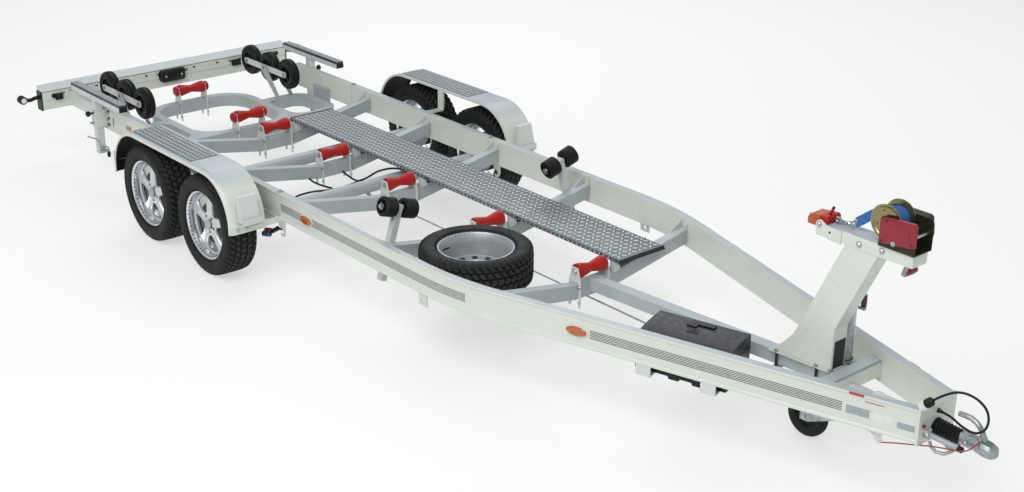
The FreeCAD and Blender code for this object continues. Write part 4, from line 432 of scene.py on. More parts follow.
class Form:
    """A piece in the making, in millimetres."""

    # Faces that meet at a smaller angle look like one.
    crease = radians(34)

    def __init__(self, name: str, finish: Finish, place: Matrix | None = None) -> None:
        """Starts an empty piece.

        Args:
            name: The piece's name.
            finish: The finish of the faces made first.
            place: Where the piece's own millimetres lie on the trailer, or None for its stations.
        """
        self.name = name
        self.mesh = bmesh.new()
        self.finishes = [finish]
        self.current = 0
        self.place = place or Matrix.Identity(4)

    def use(self, finish: Finish) -> "Form":
        """Gives the faces made from now on another finish."""
        if finish not in self.finishes:
            self.finishes.append(finish)
        self.current = self.finishes.index(finish)
        return self

    def loft(self, rings: Sequence[Sequence[Point]], closed: bool = False) -> "Form":
        """Joins rings of points into a skin, capped at its ends.

        Args:
            rings: Rings with the same number of points.
            closed: Whether the last ring joins the first.

        Returns:
            The form itself.
        """
        rows = [[self.mesh.verts.new(self.place @ Vector(p)) for p in ring] for ring in rings]
        pairs = list(zip(rows, rows[1:])) + ([(rows[-1], rows[0])] if closed else [])
        count = len(rows[0])
        faces = [self.mesh.faces.new((a[i], a[(i + 1) % count], b[(i + 1) % count], b[i]))
                 for a, b in pairs for i in range(count)]
        if not closed:
            faces.append(self.mesh.faces.new(rows[0][::-1]))
            faces.append(self.mesh.faces.new(rows[-1]))
        for face in faces:
            face.material_index = self.current
        return self

    def prism(self, corners: Profile, axis: str, low: float, high: float) -> "Form":
        """An outline made solid along an axis.

        Args:
            corners: The outline, in the other two axes in their order.
            axis: "x", "y" or "z".
            low: Where it starts on the axis.
            high: Where it ends.

        Returns:
            The form itself.
        """
        at = "xyz".index(axis)
        return self.loft([[(*c[:at], level, *c[at:]) for c in corners] for level in (low, high)])

    def block(self, low: Point, high: Point) -> "Form":
        """A block from its low to its high corner."""
        corners = ((low[0], low[1]), (high[0], low[1]), (high[0], high[1]), (low[0], high[1]))
        return self.prism(corners, "z", low[2], high[2])

    def turned(self, profile: Profile, centre: Point, axis: Point, steps: int = 48,
               relief: Callable[[int, float], float] | None = None) -> "Form":
        """A closed outline turned about an axis.

        Args:
            profile: Corners as distance along the axis and radius.
            centre: The axis's zero point.
            axis: The axis's direction.
            steps: How many sides the turned form has.
            relief: What is taken off the radius, by step and by distance along the axis.

        Returns:
            The form itself.
        """
        along = Vector(axis).normalized()
        side = Vector((0, 0, 1)) if abs(along.z) < 0.9 else Vector((1, 0, 0))
        side = (side - along * side.dot(along)).normalized()
        other = along.cross(side)
        rings = []
        for step in range(steps):
            angle = 2 * pi * step / steps
            out = side * cos(angle) + other * sin(angle)
            rings.append([Vector(centre) + along * t + out * max(r - (relief(step, t) if relief else 0), 0.02)
                          for t, r in profile])
        return self.loft(rings, closed=True)

    def rod(self, start: Point, end: Point, radius: float, steps: int = 20, edge: float = 1.0) -> "Form":
        """A round bar with broken edges between two points."""
        long = (Vector(end) - Vector(start)).length
        edge = min(edge, radius * 0.5, long * 0.3)
        return self.turned(((0, 0), (0, radius - edge), (edge, radius), (long - edge, radius),
                            (long, radius - edge), (long, 0)), start, Vector(end) - Vector(start), steps)

    def tube(self, points: Sequence[Point], radius: float, steps: int = 10) -> "Form":
        """A round bar along a line of points.

        Args:
            points: The line's points.
            radius: The bar's radius.
            steps: How many sides it has.

        Returns:
            The form itself.
        """
        line = [Vector(p) for p in points]
        normal = (line[1] - line[0]).orthogonal().normalized()
        rings = []
        for i, point in enumerate(line):
            ahead = (line[min(i + 1, len(line) - 1)] - line[max(i - 1, 0)]).normalized()
            normal = (normal - ahead * normal.dot(ahead)).normalized()
            side = ahead.cross(normal)
            turns = [2 * pi * k / steps for k in range(steps)]
            rings.append([point + (normal * cos(a) + side * sin(a)) * radius for a in turns])
        return self.loft(rings)

    def bolt(self, centre: Point, axis: Point, across: float, high: float, washer: float = 0.0) -> "Form":
        """A hexagon bolt head on its washer.

        Args:
            centre: Where the bolt stands on the surface.
            axis: The way out of the surface.
            across: The head's size across its flats.
            high: The head's height.
            washer: The washer's radius, or 0 for one in proportion.

        Returns:
            The form itself.
        """
        washer = washer or across * 0.72
        corner = across / 2 / cos(pi / 6)
        self.turned(((-0.5, 0), (-0.5, washer), (1.2, washer), (1.6, washer - 0.6), (1.6, 0)),
                    centre, axis, 20)
        return self.turned(((1.0, 0), (1.0, corner), (high * 0.8, corner), (high, corner * 0.82), (high, 0)),
                           centre, axis, 6)

    def bolt_pair(self, middle: Point, half: float, across: float, high: float) -> "Form":
        """Two bolt heads that face outwards along y, each at half their distance from a middle."""
        for sign in SIGNS:
            self.bolt((middle[0], middle[1] + sign * half, middle[2]), (0, sign, 0), across, high)
        return self

    def disc(self, centre: Point, axis: Point, radius: float, low: float, high: float,
             steps: int = 20) -> "Form":
        """A flat round cap between two places on its axis."""
        return self.turned(((low, 0), (low, radius), (high, radius), (high, 0)), centre, axis, steps)

    def bars(self, low: Point, high: Point, z: float, pitch: float, tall: float) -> "Form":
        """Raised tread bars on a level sheet, set in turn one way and the other.

        Args:
            low: The field's low corner, x and y.
            high: Its high corner.
            z: The sheet's surface.
            pitch: The distance from bar to bar.
            tall: The bars' height.

        Returns:
            The form itself.
        """
        columns = int((high[0] - low[0]) / pitch)
        rows = int((high[1] - low[1]) / pitch)
        for i in range(columns):
            for j in range(rows):
                x = low[0] + (i + 0.5) * (high[0] - low[0]) / columns
                y = low[1] + (j + 0.5) * (high[1] - low[1]) / rows
                lean = radians(45 if (i + j) % 2 else 135)
                u = Vector((cos(lean), sin(lean), 0))
                v = Vector((-u.y, u.x, 0))
                shape = ((-0.42, 0), (-0.3, -0.13), (0.3, -0.13), (0.42, 0), (0.3, 0.13), (-0.3, 0.13))
                foot = [Vector((x, y, z - 0.3)) + (u * a + v * b) * pitch for a, b in shape]
                head = [Vector((x, y, z + tall)) + (u * a * 0.86 + v * b * 0.5) * pitch for a, b in shape]
                self.loft([foot, head])
        return self

    def piece(self, body: str, slot: str | None = None, replaces: Sequence[str] = (),
              edge: float = 0.0) -> bpy.types.Object:
        """Finishes the piece and puts it on its body.

        Args:
            body: The CAD body that it rides on.
            slot: The record's material slot; not used.
            replaces: The CAD nodes that it stands for.
            edge: How far its sharp edges are rounded, in millimetres.

        Returns:
            The piece.
        """
        bmesh.ops.recalc_face_normals(self.mesh, faces=self.mesh.faces)
        self.mesh.transform(TO_METRES)
        for face in self.mesh.faces:
            face.smooth = True
        for seam in self.mesh.edges:
            seam.smooth = edge > 0 or (seam.is_manifold and seam.calc_face_angle(0) < self.crease)
        data = bpy.data.meshes.new(self.name)
        self.mesh.to_mesh(data)
        self.mesh.free()
        for finish in self.finishes:
            data.materials.append(finish.material())
        made = show(self.name, data)
        if edge > 0:
            round_edges(made, edge)
        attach(made, body)
        if replaces:
            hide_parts(*replaces)
        return made


def round_edges(thing: bpy.types.Object, edge: float) -> None:
    """Rounds an object's sharp edges.

    Args:
        thing: The object.
        edge: The rounding, in millimetres.
    """
    bevel = thing.modifiers.new("edge_rounding", "BEVEL")
    bevel.width = edge * 0.001
    bevel.segments = 2
    bevel.limit_method = "ANGLE"
    bevel.angle_limit = radians(38)
    bevel.harden_normals = True


@dataclass(frozen=True)
class RailLine:
    """The line of the rails' outer faces, straight, bent and straight again towards the coupling."""

    outer: float = 830.0
    wide: float = 45.0
    bend: float = 2349.0
    angle: float = radians(16.57)
    radius: float = 1850.0
    web_in: float = 5.0

    def ahead(self, station: float) -> float:
        """How far a station lies past the start of the bend."""
        return station - self.bend + self.radius * tan(self.angle / 2)

    def half(self, station: float) -> float:
        """The outer face's distance from the centre line."""
        past = self.ahead(station)
        if past <= 0:
            return self.outer
        if past < self.radius * sin(self.angle):
            return self.outer - self.radius + sqrt(self.radius**2 - past**2)
        return self.outer - (station - self.bend) * tan(self.angle)

    def heading(self, station: float) -> float:
        """The rail's turn towards the centre line, in radians."""
        past = self.ahead(station)
        return asin(min(max(past, 0.0) / self.radius, sin(self.angle)))

    def inner(self, station: float) -> float:
        """The inner face's distance from the centre line."""
        return self.half(station) - self.wide / cos(self.heading(station))

    def at(self, side: Side, station: float, z: float = 0.0, inset: float = 0.0) -> Matrix:
        """A place on the rail's outer face: x along the rail, y out of its face, z up.

        Args:
            side: Which rail.
            station: The place along the trailer.
            z: The height above the ground.
            inset: How far inside the outer face.

        Returns:
            The place as a matrix.
        """
        turn = self.heading(station)
        along = Vector((cos(turn), sin(turn), 0))
        out = Vector((sin(turn), -cos(turn), 0))
        centre = Vector((station, -self.half(station), z)) - out * inset
        return on_side(side, placed(along, out, Vector((0, 0, 1)), centre))


RAIL = RailLine()


def arm_top(across: float) -> float:
    """Height of a cross member's swept top at a distance from the centre line."""
    return MEMBER_TOP + MEMBER_RISE * (across - MEMBER_FLAT) / (RAIL.outer - RAIL.wide - MEMBER_FLAT)


def dress(nodes: dict[str, bpy.types.Object]) -> None:
    """Gives the CAD nodes that keep their shape their finish and rounded edges."""
    for finish, edge, *names in DRESSED:
        for thing in (nodes[name] for name in names):
            thing.data.materials.clear()
            thing.data.materials.append(finish.material())
            weld = thing.modifiers.new("weld", "WELD")
            weld.merge_threshold = WELD
            round_edges(thing, edge)


@dataclass
class Rails:
    """The rails' stripes, marker lamps and small plates."""

    runs: tuple = ((726.0, 2414.0), (3128.0, 4360.0))
    stripes: int = 6
    stripe_low: float = 446.0
    stripe_high: float = 487.0
    stripe_wide: float = 3.5
    stripe_steps: int = 24
    top: float = 551.0
    markers: tuple = (998.0, 3058.0)
    marker_z: float = 467.0
    stickers: tuple = ((STICKER, 4430, 54, 442, 482, 0.5), (LABEL, 4541, 47, 446, 482, 0.5),
                       (STICKER, 4640, 40, 436, 466, 0.5), (RED_STICKER, 4500, 44, 518, 521.5, 1.1))
    web_bolts: tuple = ((BLACK_PLASTIC, 15, 6, ((-1470, 520), (-1470, 470), (-1470, 425), (-1240, 412))),
                        (BRIGHT, 11, 5, ((3260, 455), (3340, 455), (3700, 455), (3830, 455))))
    clamps: tuple = (-866.0, 695.0)

    def build(self) -> None:
        """Builds everything on the rails."""
        for side in Side:
            self.lines(side)
            self.lamps(side)
            self.fittings(side)

    def on_web(self, side: Side, station: float, z: float = 0.0) -> Matrix:
        """A place on the rail's flat web."""
        return RAIL.at(side, station, z, RAIL.web_in)

    def lines(self, side: Side) -> None:
        """The thin printed lines on the web and the blank stickers near the nose."""
        form = Form("rail_stripes_" + side.word, STRIPE)
        half = self.stripe_wide / 2
        section = ((0, -0.3, -half), (0, 0.35, -half), (0, 0.35, half), (0, -0.3, half))
        spacing = (self.stripe_high - self.stripe_low) / (self.stripes - 1)
        for start, end in self.runs:
            stations = [start + (end - start) * i / self.stripe_steps for i in range(self.stripe_steps + 1)]
            for k in range(self.stripes):
                places = [self.on_web(side, station, self.stripe_low + k * spacing) for station in stations]
                form.loft([[place @ Vector(p) for p in section] for place in places])
        for finish, station, half, low, high, thick in self.stickers:
            form.use(finish).place = self.on_web(side, station)
            form.block((-half, -0.3, low), (half, thick, high))
        form.piece("trailer")

    def lamps(self, side: Side) -> None:
        """The oval marker lamps on their pale bases."""
        for count, station in enumerate(self.markers, start=1):
            form = Form("marker_lamp_%d_%s" % (count, side.word), PALE,
                        self.on_web(side, station, self.marker_z))
            for finish, long, tall, deep in ((PALE, 66, 31, 6.0), (AMBER_LENS, 58, 25, 14.0)):
                levels = ((-0.5, 1.0), (deep * 0.55, 1.0), (deep * 0.85, 0.9), (deep, 0.7))
                form.use(finish).loft([[(long * size * out.x, level, tall * size * out.z)
                                        for out, _ in spokes(32)] for level, size in levels])
            form.piece("trailer")

    def fittings(self, side: Side) -> None:
        """Bolts, reflectors, a dark strip as painted shade in the rear end's slot, the brackets near the nose
        and the clamps.
        """
        form = Form("rail_fittings_" + side.word, BLACK_PLASTIC)
        for finish, across, high, places in self.web_bolts:
            for station, z in places:
                form.use(finish).place = self.on_web(side, station, z)
                form.bolt((0, 0, 0), (0, 1, 0), across, high)
        # A black strip on the web: painted shade in the rear end's slot.
        form.use(BLACK_PLASTIC).place = self.on_web(side, -1405, 455)
        form.block((-5, -0.3, -28), (5, 0.8, 28))
        form.use(AMBER_LENS).place = self.on_web(side, -1180, 470)
        form.block((-34, -0.3, -13), (34, 3.5, 13))
        form.use(RED_LENS).place = RAIL.at(side, 4420, self.top)
        form.block((-34, -0.3, -11), (34, 2.2, 0))
        form.use(SHELL).place = RAIL.at(side, 4530)
        form.prism(((-58, 550), (58, 550), (40, 558), (8, 561), (-16, 571), (-36, 571), (-50, 560)),
                   "y", -36, -30)
        form.prism(((-150, 388), (-104, 378), (-46, 366), (-26, 344), (-16, 326), (4, 322), (14, 330),
                    (8, 342), (6, 372), (16, 388)), "y", -34, -28)
        form.rod((0, -40, 331), (0, -20, 331), 5, 12)
        form.place = RAIL.at(side, 732)
        form.prism(((-34, 388), (34, 388), (34, 318), (29, 300), (18, 288), (0, 283), (-14, 287), (-20, 297),
                    (-12, 302), (0, 297), (12, 302), (16, 316), (2, 330), (-30, 342)), "y", -8, -2)
        form.piece("trailer", edge=0.6)
        form = Form("rail_clamps_" + side.word, ZINC)
        for station in self.clamps:
            form.use(ZINC).place = RAIL.at(side, station, self.top)
            form.block((-11, -44, -1), (11, -8, 5)).rod((0, -26, 4), (0, -26, 14), 6, 12)
            form.use(CHASSIS).block((-1.5, -46.2, -150), (1.5, -44.8, -2))
        form.piece("trailer", edge=0.6)


@dataclass
class Chassis:
    """The cross members' gussets, the brake hoses and the flushing connection."""

    gusset_long: float = 105.0
    gusset_high: float = 42.0
    gusset_thick: float = 4.0
    hose: float = 6.5
    runs: tuple = (
        ((478, -520, 312), (360, -480, 300), (263, -435, 302), (286, -329, 318), (322, -245, 320),
         (310, -120, 306), (272, 0, 296), (250, 123, 300), (233, 236, 318), (287, 342, 326), (480, 400, 316)),
        ((74, -212, 326), (110, -196, 304), (180, -170, 292), (251, -151, 292), (314, -200, 314)),
        ((74, 50, 316), (120, 60, 296), (180, 66, 284), (223, 71, 284), (254, 100, 298)))

    def build(self) -> None:
        """Builds the gussets and the hoses."""
        for side in Side:
            form = Form("member_gussets_" + side.word, PALE)
            for station in MEMBERS:
                inner = RAIL.inner(station)
                foot, top = inner - self.gusset_long, arm_top(inner)
                corners = [(side.value * y, z) for y, z in (
                    (foot, arm_top(foot) - 2), (inner + 2, top - 2), (inner + 2, top + self.gusset_high))]
                for x in (station - 29, station + 25):
                    form.prism(corners, "x", x, x + self.gusset_thick)
            form.piece("trailer", edge=0.8)
        self.hoses()

    def hoses(self) -> None:
        """The black brake hoses that hang between the axles and the flushing connection's caps."""
        form = Form("brake_hoses", RUBBER)
        for line in self.runs:
            form.tube(smooth(line), self.hose)
        form.tube(smooth(((734, -832, 330), (700, -838, 326), (660, -846, 300), (628, -854, 272),
                          (600, -859, 260))), 6)
        form.use(BLACK_PLASTIC).rod((650, -846, 296), (706, -838, 332), 14, 20, 3)
        form.use(BLUE_PLASTIC).rod((570, -862, 262), (634, -852, 274), 17, 20, 4)
        form.use(RED_NYLON).rod((590, -858, 290), (640, -850, 302), 14, 20, 4)
        form.piece("trailer")


@dataclass
class KeelRollers:
    """The red waisted keel rollers with their end caps and the brackets' bolts."""

    on_cradle: tuple = (-1814.0, -999.0)
    axle: float = 452.0
    half: float = 100.0
    radius: float = 42.0
    waist: float = 27.0
    pin: float = 9.06
    plate_out: float = 110.0
    bolt_out: float = 38.0
    cradle_bolts: tuple = (262.0, 348.0)
    member_bolts: tuple = (285.0, 371.0)

    def radius_at(self, y: float) -> float:
        """The roller's radius, waisted and lightly ribbed."""
        away = abs(y)
        share = min(max(away - 8, 0) / 70, 1.0)
        base = self.waist + (self.radius - self.waist) * share
        return base - 0.9 * (0.5 + 0.5 * cos(2 * pi * away / 9.5)) - (2.5 if away > 98 else 0)

    def build(self) -> None:
        """Builds the rollers, their end caps and the brackets' bolts."""
        skin = [(y, self.radius_at(y)) for y in (self.half * k / 44 for k in range(-44, 45))]
        profile = [(-self.half, self.pin), (-self.half, 20), *skin, (self.half, 20), (self.half, self.pin)]
        for count, station in enumerate(self.on_cradle + MEMBERS, start=1):
            form = Form("red_keel_roller_%d" % count, RED_VINYL)
            form.turned(profile, (station, 0, self.axle), (0, 1, 0), 40)
            form.piece("roller_%d" % count, "red_rubber", ["keel_roller_%d" % count])
        self.bolts()

    def bolts(self) -> None:
        """Pin ends, bolts through the plates and the round end caps of the rear rollers."""
        form = Form("roller_bracket_bolts", BRIGHT)
        cap = ((0.5, 0), (0.5, 30), (4, 35), (17, 35), (24, 29), (27, 15), (27, 0))
        for station in self.on_cradle:
            form.use(RED_VINYL)
            for sign in SIGNS:
                form.turned(cap, (station, sign * self.plate_out, self.axle), (0, sign, 0), 36)
        form.use(BRIGHT)
        for station in MEMBERS:
            form.bolt_pair((station, 0, self.axle), self.plate_out, 24, 10)
        for stations, heights in ((self.on_cradle, self.cradle_bolts), (MEMBERS, self.member_bolts)):
            for station in stations:
                for x in (station - self.bolt_out, station + self.bolt_out):
                    for z in heights:
                        form.bolt_pair((x, 0, z), self.plate_out, 15, 7)
        form.piece("trailer")


@dataclass
class SlipWheels:
    """The black slip wheels on their rockers."""

    middle: float = -1650.0
    pitch: float = 258.0
    y: float = 588.0
    axle: float = 552.0
    radius: float = 112.0
    rim: float = 66.0
    bar_out: float = 47.0
    stand_out: float = 61.0

    def build(self) -> None:
        """Builds the six wheels and adds the axles' nuts."""
        for side in Side:
            y = side.value * self.y
            for word, offset in (("rear", -self.pitch), ("middle", 0.0), ("front", self.pitch)):
                self.wheel("%s_%s" % (word, side.word), Vector((self.middle + offset, y, self.axle)))
            form = Form("rocker_bolts_" + side.word, BRIGHT)
            for offset in (-self.pitch, self.pitch):
                form.bolt_pair((self.middle + offset, y, self.axle), self.bar_out, 24, 10)
            form.piece("rocker_" + side.word)
            form = Form("stand_bolts_" + side.word, BRIGHT)
            form.bolt_pair((self.middle, y, self.axle), self.stand_out, 24, 10).piece("trailer")

    def wheel(self, name: str, centre: Vector) -> None:
        """One wheel: rounded ribbed tyre, dark rim ring, five-legged centre and dark red hub.

        Args:
            name: The wheel's place and side.
            centre: Its middle.
        """
        rim, full = self.rim, self.radius
        half = ((31, rim), (35, rim + 10), (37, rim + 22), (36, full - 18), (30, full - 8), (24, full - 4),
                (22, full - 2.5), (20, full - 6), (16, full - 6), (14, full - 0.7), (8, full),
                (6, full - 3.5), (2, full - 3.5))
        ring = ((12, rim - 8), (31, rim - 6), (33, rim - 2), (32.5, rim + 3), (28, rim + 2), (12, rim))
        form = Form("black_slip_wheel_" + name, RUBBER).turned(both_ways(half), centre, (0, 1, 0), 56)
        for sign in SIGNS:
            axis = Vector((0, sign, 0))
            form.use(BLACK_PLASTIC).turned(ring, centre, axis, 48)
            form.use(RUBBER).turned(((10, 20), (13, 22), (14, rim - 6), (10, rim - 4)), centre, axis, 48)
            for u, v in spokes(5):
                form.loft([[centre + u * r + v * a + axis * b
                            for a, b in ((-w, 12), (w, 12), (w * 0.7, out), (-w * 0.7, out))]
                           for r, w, out in ((16, 8, 26), (40, 6, 22), (rim - 4, 8, 20))])
            form.use(DARK_NYLON).turned(((10, 10.1), (33, 10.1), (33, 17), (30, 21), (12, 22)),
                                        centre, axis, 32)
        form.piece("slip_" + name, "black_rubber", ["slip_wheel_" + name])


@dataclass
class SideSupports:
    """The rubber-topped side supports with their clamps and crank handles."""

    station: float = -1535.0
    y: float = 874.0
    rear: float = -1866.0
    front: float = -1138.0
    bar_low: float = 602.0
    rubber_low: float = 634.0
    rubber_top: float = 652.0
    ribs: int = 8
    crank_out: float = 46.0
    crank: tuple = ((985, 366), (955, 350), (928, 337), (914, 322), (907, 298), (899, 277), (887, 269),
                    (856, 263), (845, 259), (840, 250), (841, 228))

    def build(self) -> None:
        """Builds the supports of both sides."""
        for side in Side:
            y = side.value * self.y
            form = Form("support_rubber_" + side.word, GREY_RUBBER)
            corners = [(y - 30, self.rubber_low), (y + 30, self.rubber_low)]
            for k in range(self.ribs):
                for step, z in ((0.15, -3), (0.35, 0.8), (0.65, 0.8), (0.85, -3)):
                    corners.append((y + 29 - 58 * (k + step) / self.ribs, self.rubber_top + z))
            form.prism(corners, "x", self.rear - 1, self.front + 1)
            form.use(BLACK_PLASTIC)
            for x in (self.rear - 5, self.front):
                form.block((x, y - 29, self.bar_low), (x + 5, y + 29, self.rubber_low))
            form.piece("support_" + side.word, "zinc", edge=0.5)
            self.handles(side)

    def handles(self, side: Side) -> None:
        """The sleeve's clamp knob and pin, and the post's small crank with its black knob."""
        sign = side.value
        out = sign * (self.y + 32)
        form = Form("support_clamp_" + side.word, BLACK_PLASTIC)
        form.turned(((0, 0), (0, 7), (26, 7), (28, 17), (38, 20), (50, 18), (54, 12), (55, 0)),
                    (self.station, out, 508), (0, sign, 0), 24)
        form.use(BRIGHT).rod((self.station, out, 440), (self.station, out + sign * 30, 440), 8, 14)
        for z in (420, 458, 508):
            form.bolt((self.station + 52, sign * 826, z), (0, sign, 0), 19, 9)
        form.piece("trailer")
        form = Form("support_crank_" + side.word, ZINC)
        x = self.station + self.crank_out
        form.tube([(x, sign * y, z) for y, z in self.crank], 5, 12)
        form.block((self.station + 24, sign * 836, 229), (x + 5, sign * 897, 240))
        form.use(BLACK_PLASTIC)
        form.turned(((-22, 0), (-22, 6), (-14, 11), (2, 13), (16, 11), (23, 6), (24, 0)),
                    (x, sign * 842, 207), (0, 0, 1), 24)
        form.piece("support_" + side.word)


@dataclass
class Guides:
    """The black guide rollers on their leaning posts."""

    station: float = 1584.0
    y: float = 601.0
    z: float = 667.0
    tilt: float = radians(17.0)
    radius: float = 56.0
    gap: float = 58.0
    wide: float = 84.0
    steps: int = 28

    def place(self, side: Side) -> Matrix:
        """The rollers' middle, with y out of the trailer along their axle."""
        lean = Matrix.Rotation(-self.tilt, 4, "X")
        return on_side(side, Matrix.Translation((self.station, -self.y, self.z)) @ lean)

    def build(self) -> None:
        """Builds the rollers and the nuts of their axles."""
        for side in Side:
            form = Form("black_guide_rollers_" + side.word, RUBBER, self.place(side))
            for sign in SIGNS:
                self.roller(form, Vector((0, sign, 0)))
            form.piece("guide_" + side.word, "black_rubber", ["guide_rollers_" + side.word])
            form = Form("guide_axle_nuts_" + side.word, BRIGHT, self.place(side))
            form.bolt_pair((0, 0, 0), self.gap / 2 + self.wide + 3, 26, 12)
            for z in (-70, -330):
                form.bolt((0, -20, z), (0, -1, 0), 17, 7)
            form.piece("trailer")

    def roller(self, form: Form, axis: Vector) -> None:
        """One grooved roller with its bush and the webs between bush and skin.

        Args:
            form: The pair of rollers.
            axis: The way out from the pair's middle.
        """
        low, high = self.gap / 2, self.gap / 2 + self.wide
        skin = []
        for k in range(self.steps + 1):
            groove = 5 if k in (0, self.steps) else 2.2 if k % 4 == 2 else 0
            skin.append((low + 3 + (self.wide - 6) * k / self.steps, self.radius - groove))
        profile = [(low, 34), (low, self.radius - 7), *skin, (high, self.radius - 9), (high, 40),
                   (high - 9, 36), (low + 9, 34)]
        bush = ((low + 2, 12.1), (low + 2, 22), (high - 4, 22), (high - 4, 12.1))
        form.turned(profile, (0, 0, 0), axis, 48).turned(bush, (0, 0, 0), axis, 24)
        for u, v in spokes(6):
            for t0, t1 in ((low + 3, low + 9), (high - 9, high - 5)):
                form.loft([[u * r + v * w + axis * t for w, t in ((-4, t0), (4, t0), (4, t1), (-4, t1))]
                           for r in (18, 42)])


@dataclass
class Walkway:
    """The tread plate walkway with its end strips, straps and feet."""

    rear: float = -685.0
    front: float = 2580.0
    low: float = 147.0
    far: float = 484.0
    top: float = 475.0
    pitch: float = 36.0
    margin: float = 22.0
    lip: float = 22.0
    sheet: float = 3.0
    foot: float = 40.0
    straps: tuple = (864.0, 1724.0, 2428.0)

    def build(self) -> None:
        """Builds the walkway."""
        self.folded()
        self.tread()
        self.strips()

    def folded(self) -> None:
        """The sheet with its folded lips, and its feet on the cross members."""
        edge = ((0, -self.lip), (0, -4), (1.2, -1.2), (4, 0))
        inside = ((self.sheet, -self.sheet), (self.sheet, -self.lip))
        skin = [(self.low + y, self.top + z) for y, z in edge]
        skin += [(self.far - y, self.top + z) for y, z in (*reversed(edge), *reversed(inside))]
        skin += [(self.low + y, self.top + z) for y, z in inside]
        form = Form("walkway_sheet", TREAD_SHEET).prism(skin, "x", self.rear, self.front).use(PALE)
        head = self.top - self.sheet
        for station in MEMBERS:
            for low in (self.low + self.sheet, self.far - self.sheet - self.foot):
                high = low + self.foot
                form.prism([(low, arm_top(low)), (high, arm_top(high)), (high, head), (low, head)],
                           "x", station, station + self.foot)
        form.piece("trailer", "tread_plate", ["walkway"])

    def tread(self) -> None:
        """The raised bars on the sheet and on its lips."""
        start, end = self.rear + self.margin, self.front - self.margin
        form = Form("walkway_tread_bars", TREAD_BAR)
        form.bars((start, self.low + 8), (end, self.far - 8), self.top, self.pitch, 1.8)
        shape = ((-11, 0), (-7, -2.6), (7, -2.6), (11, 0), (7, 2.6), (-7, 2.6))
        for way, y in ((-1, self.low), (1, self.far)):
            for k in range(int((end - start) / self.pitch)):
                lean = 1 if k % 2 else -1
                u, v = Vector((0.75, 0, 0.66 * lean)), Vector((-0.66 * lean, 0, 0.75))
                middle = Vector((start + (k + 0.5) * self.pitch, y, self.top - self.lip * 0.52))
                form.loft([[middle + u * a + v * b + Vector((0, way * deep, 0)) for a, b in shape]
                           for deep in (-0.3, 1.5)])
        form.piece("trailer", "tread_plate")

    def strips(self) -> None:
        """The black end strips with their knobs and the straps round the sheet."""
        under = self.top - self.lip
        form = Form("walkway_end_strips", BLACK_PLASTIC)
        for x in (self.rear - 2, self.front - 4):
            form.block((x, self.low - 1, under - 1), (x + 6, self.far + 1, self.top + 2.5))
            for y in (self.low - 1, self.far + 1):
                form.rod((x - 1, y, under + 4), (x + 7, y, under + 4), 7, 16, 2)
        for station in self.straps:
            for y in (self.low - 3, self.far):
                form.block((station, y, under - 12), (station + 9, y + 3, self.top + 1))
            form.block((station, self.low - 3, under - 14), (station + 9, self.far + 3, under - 11))
        form.piece("trailer", edge=0.8)


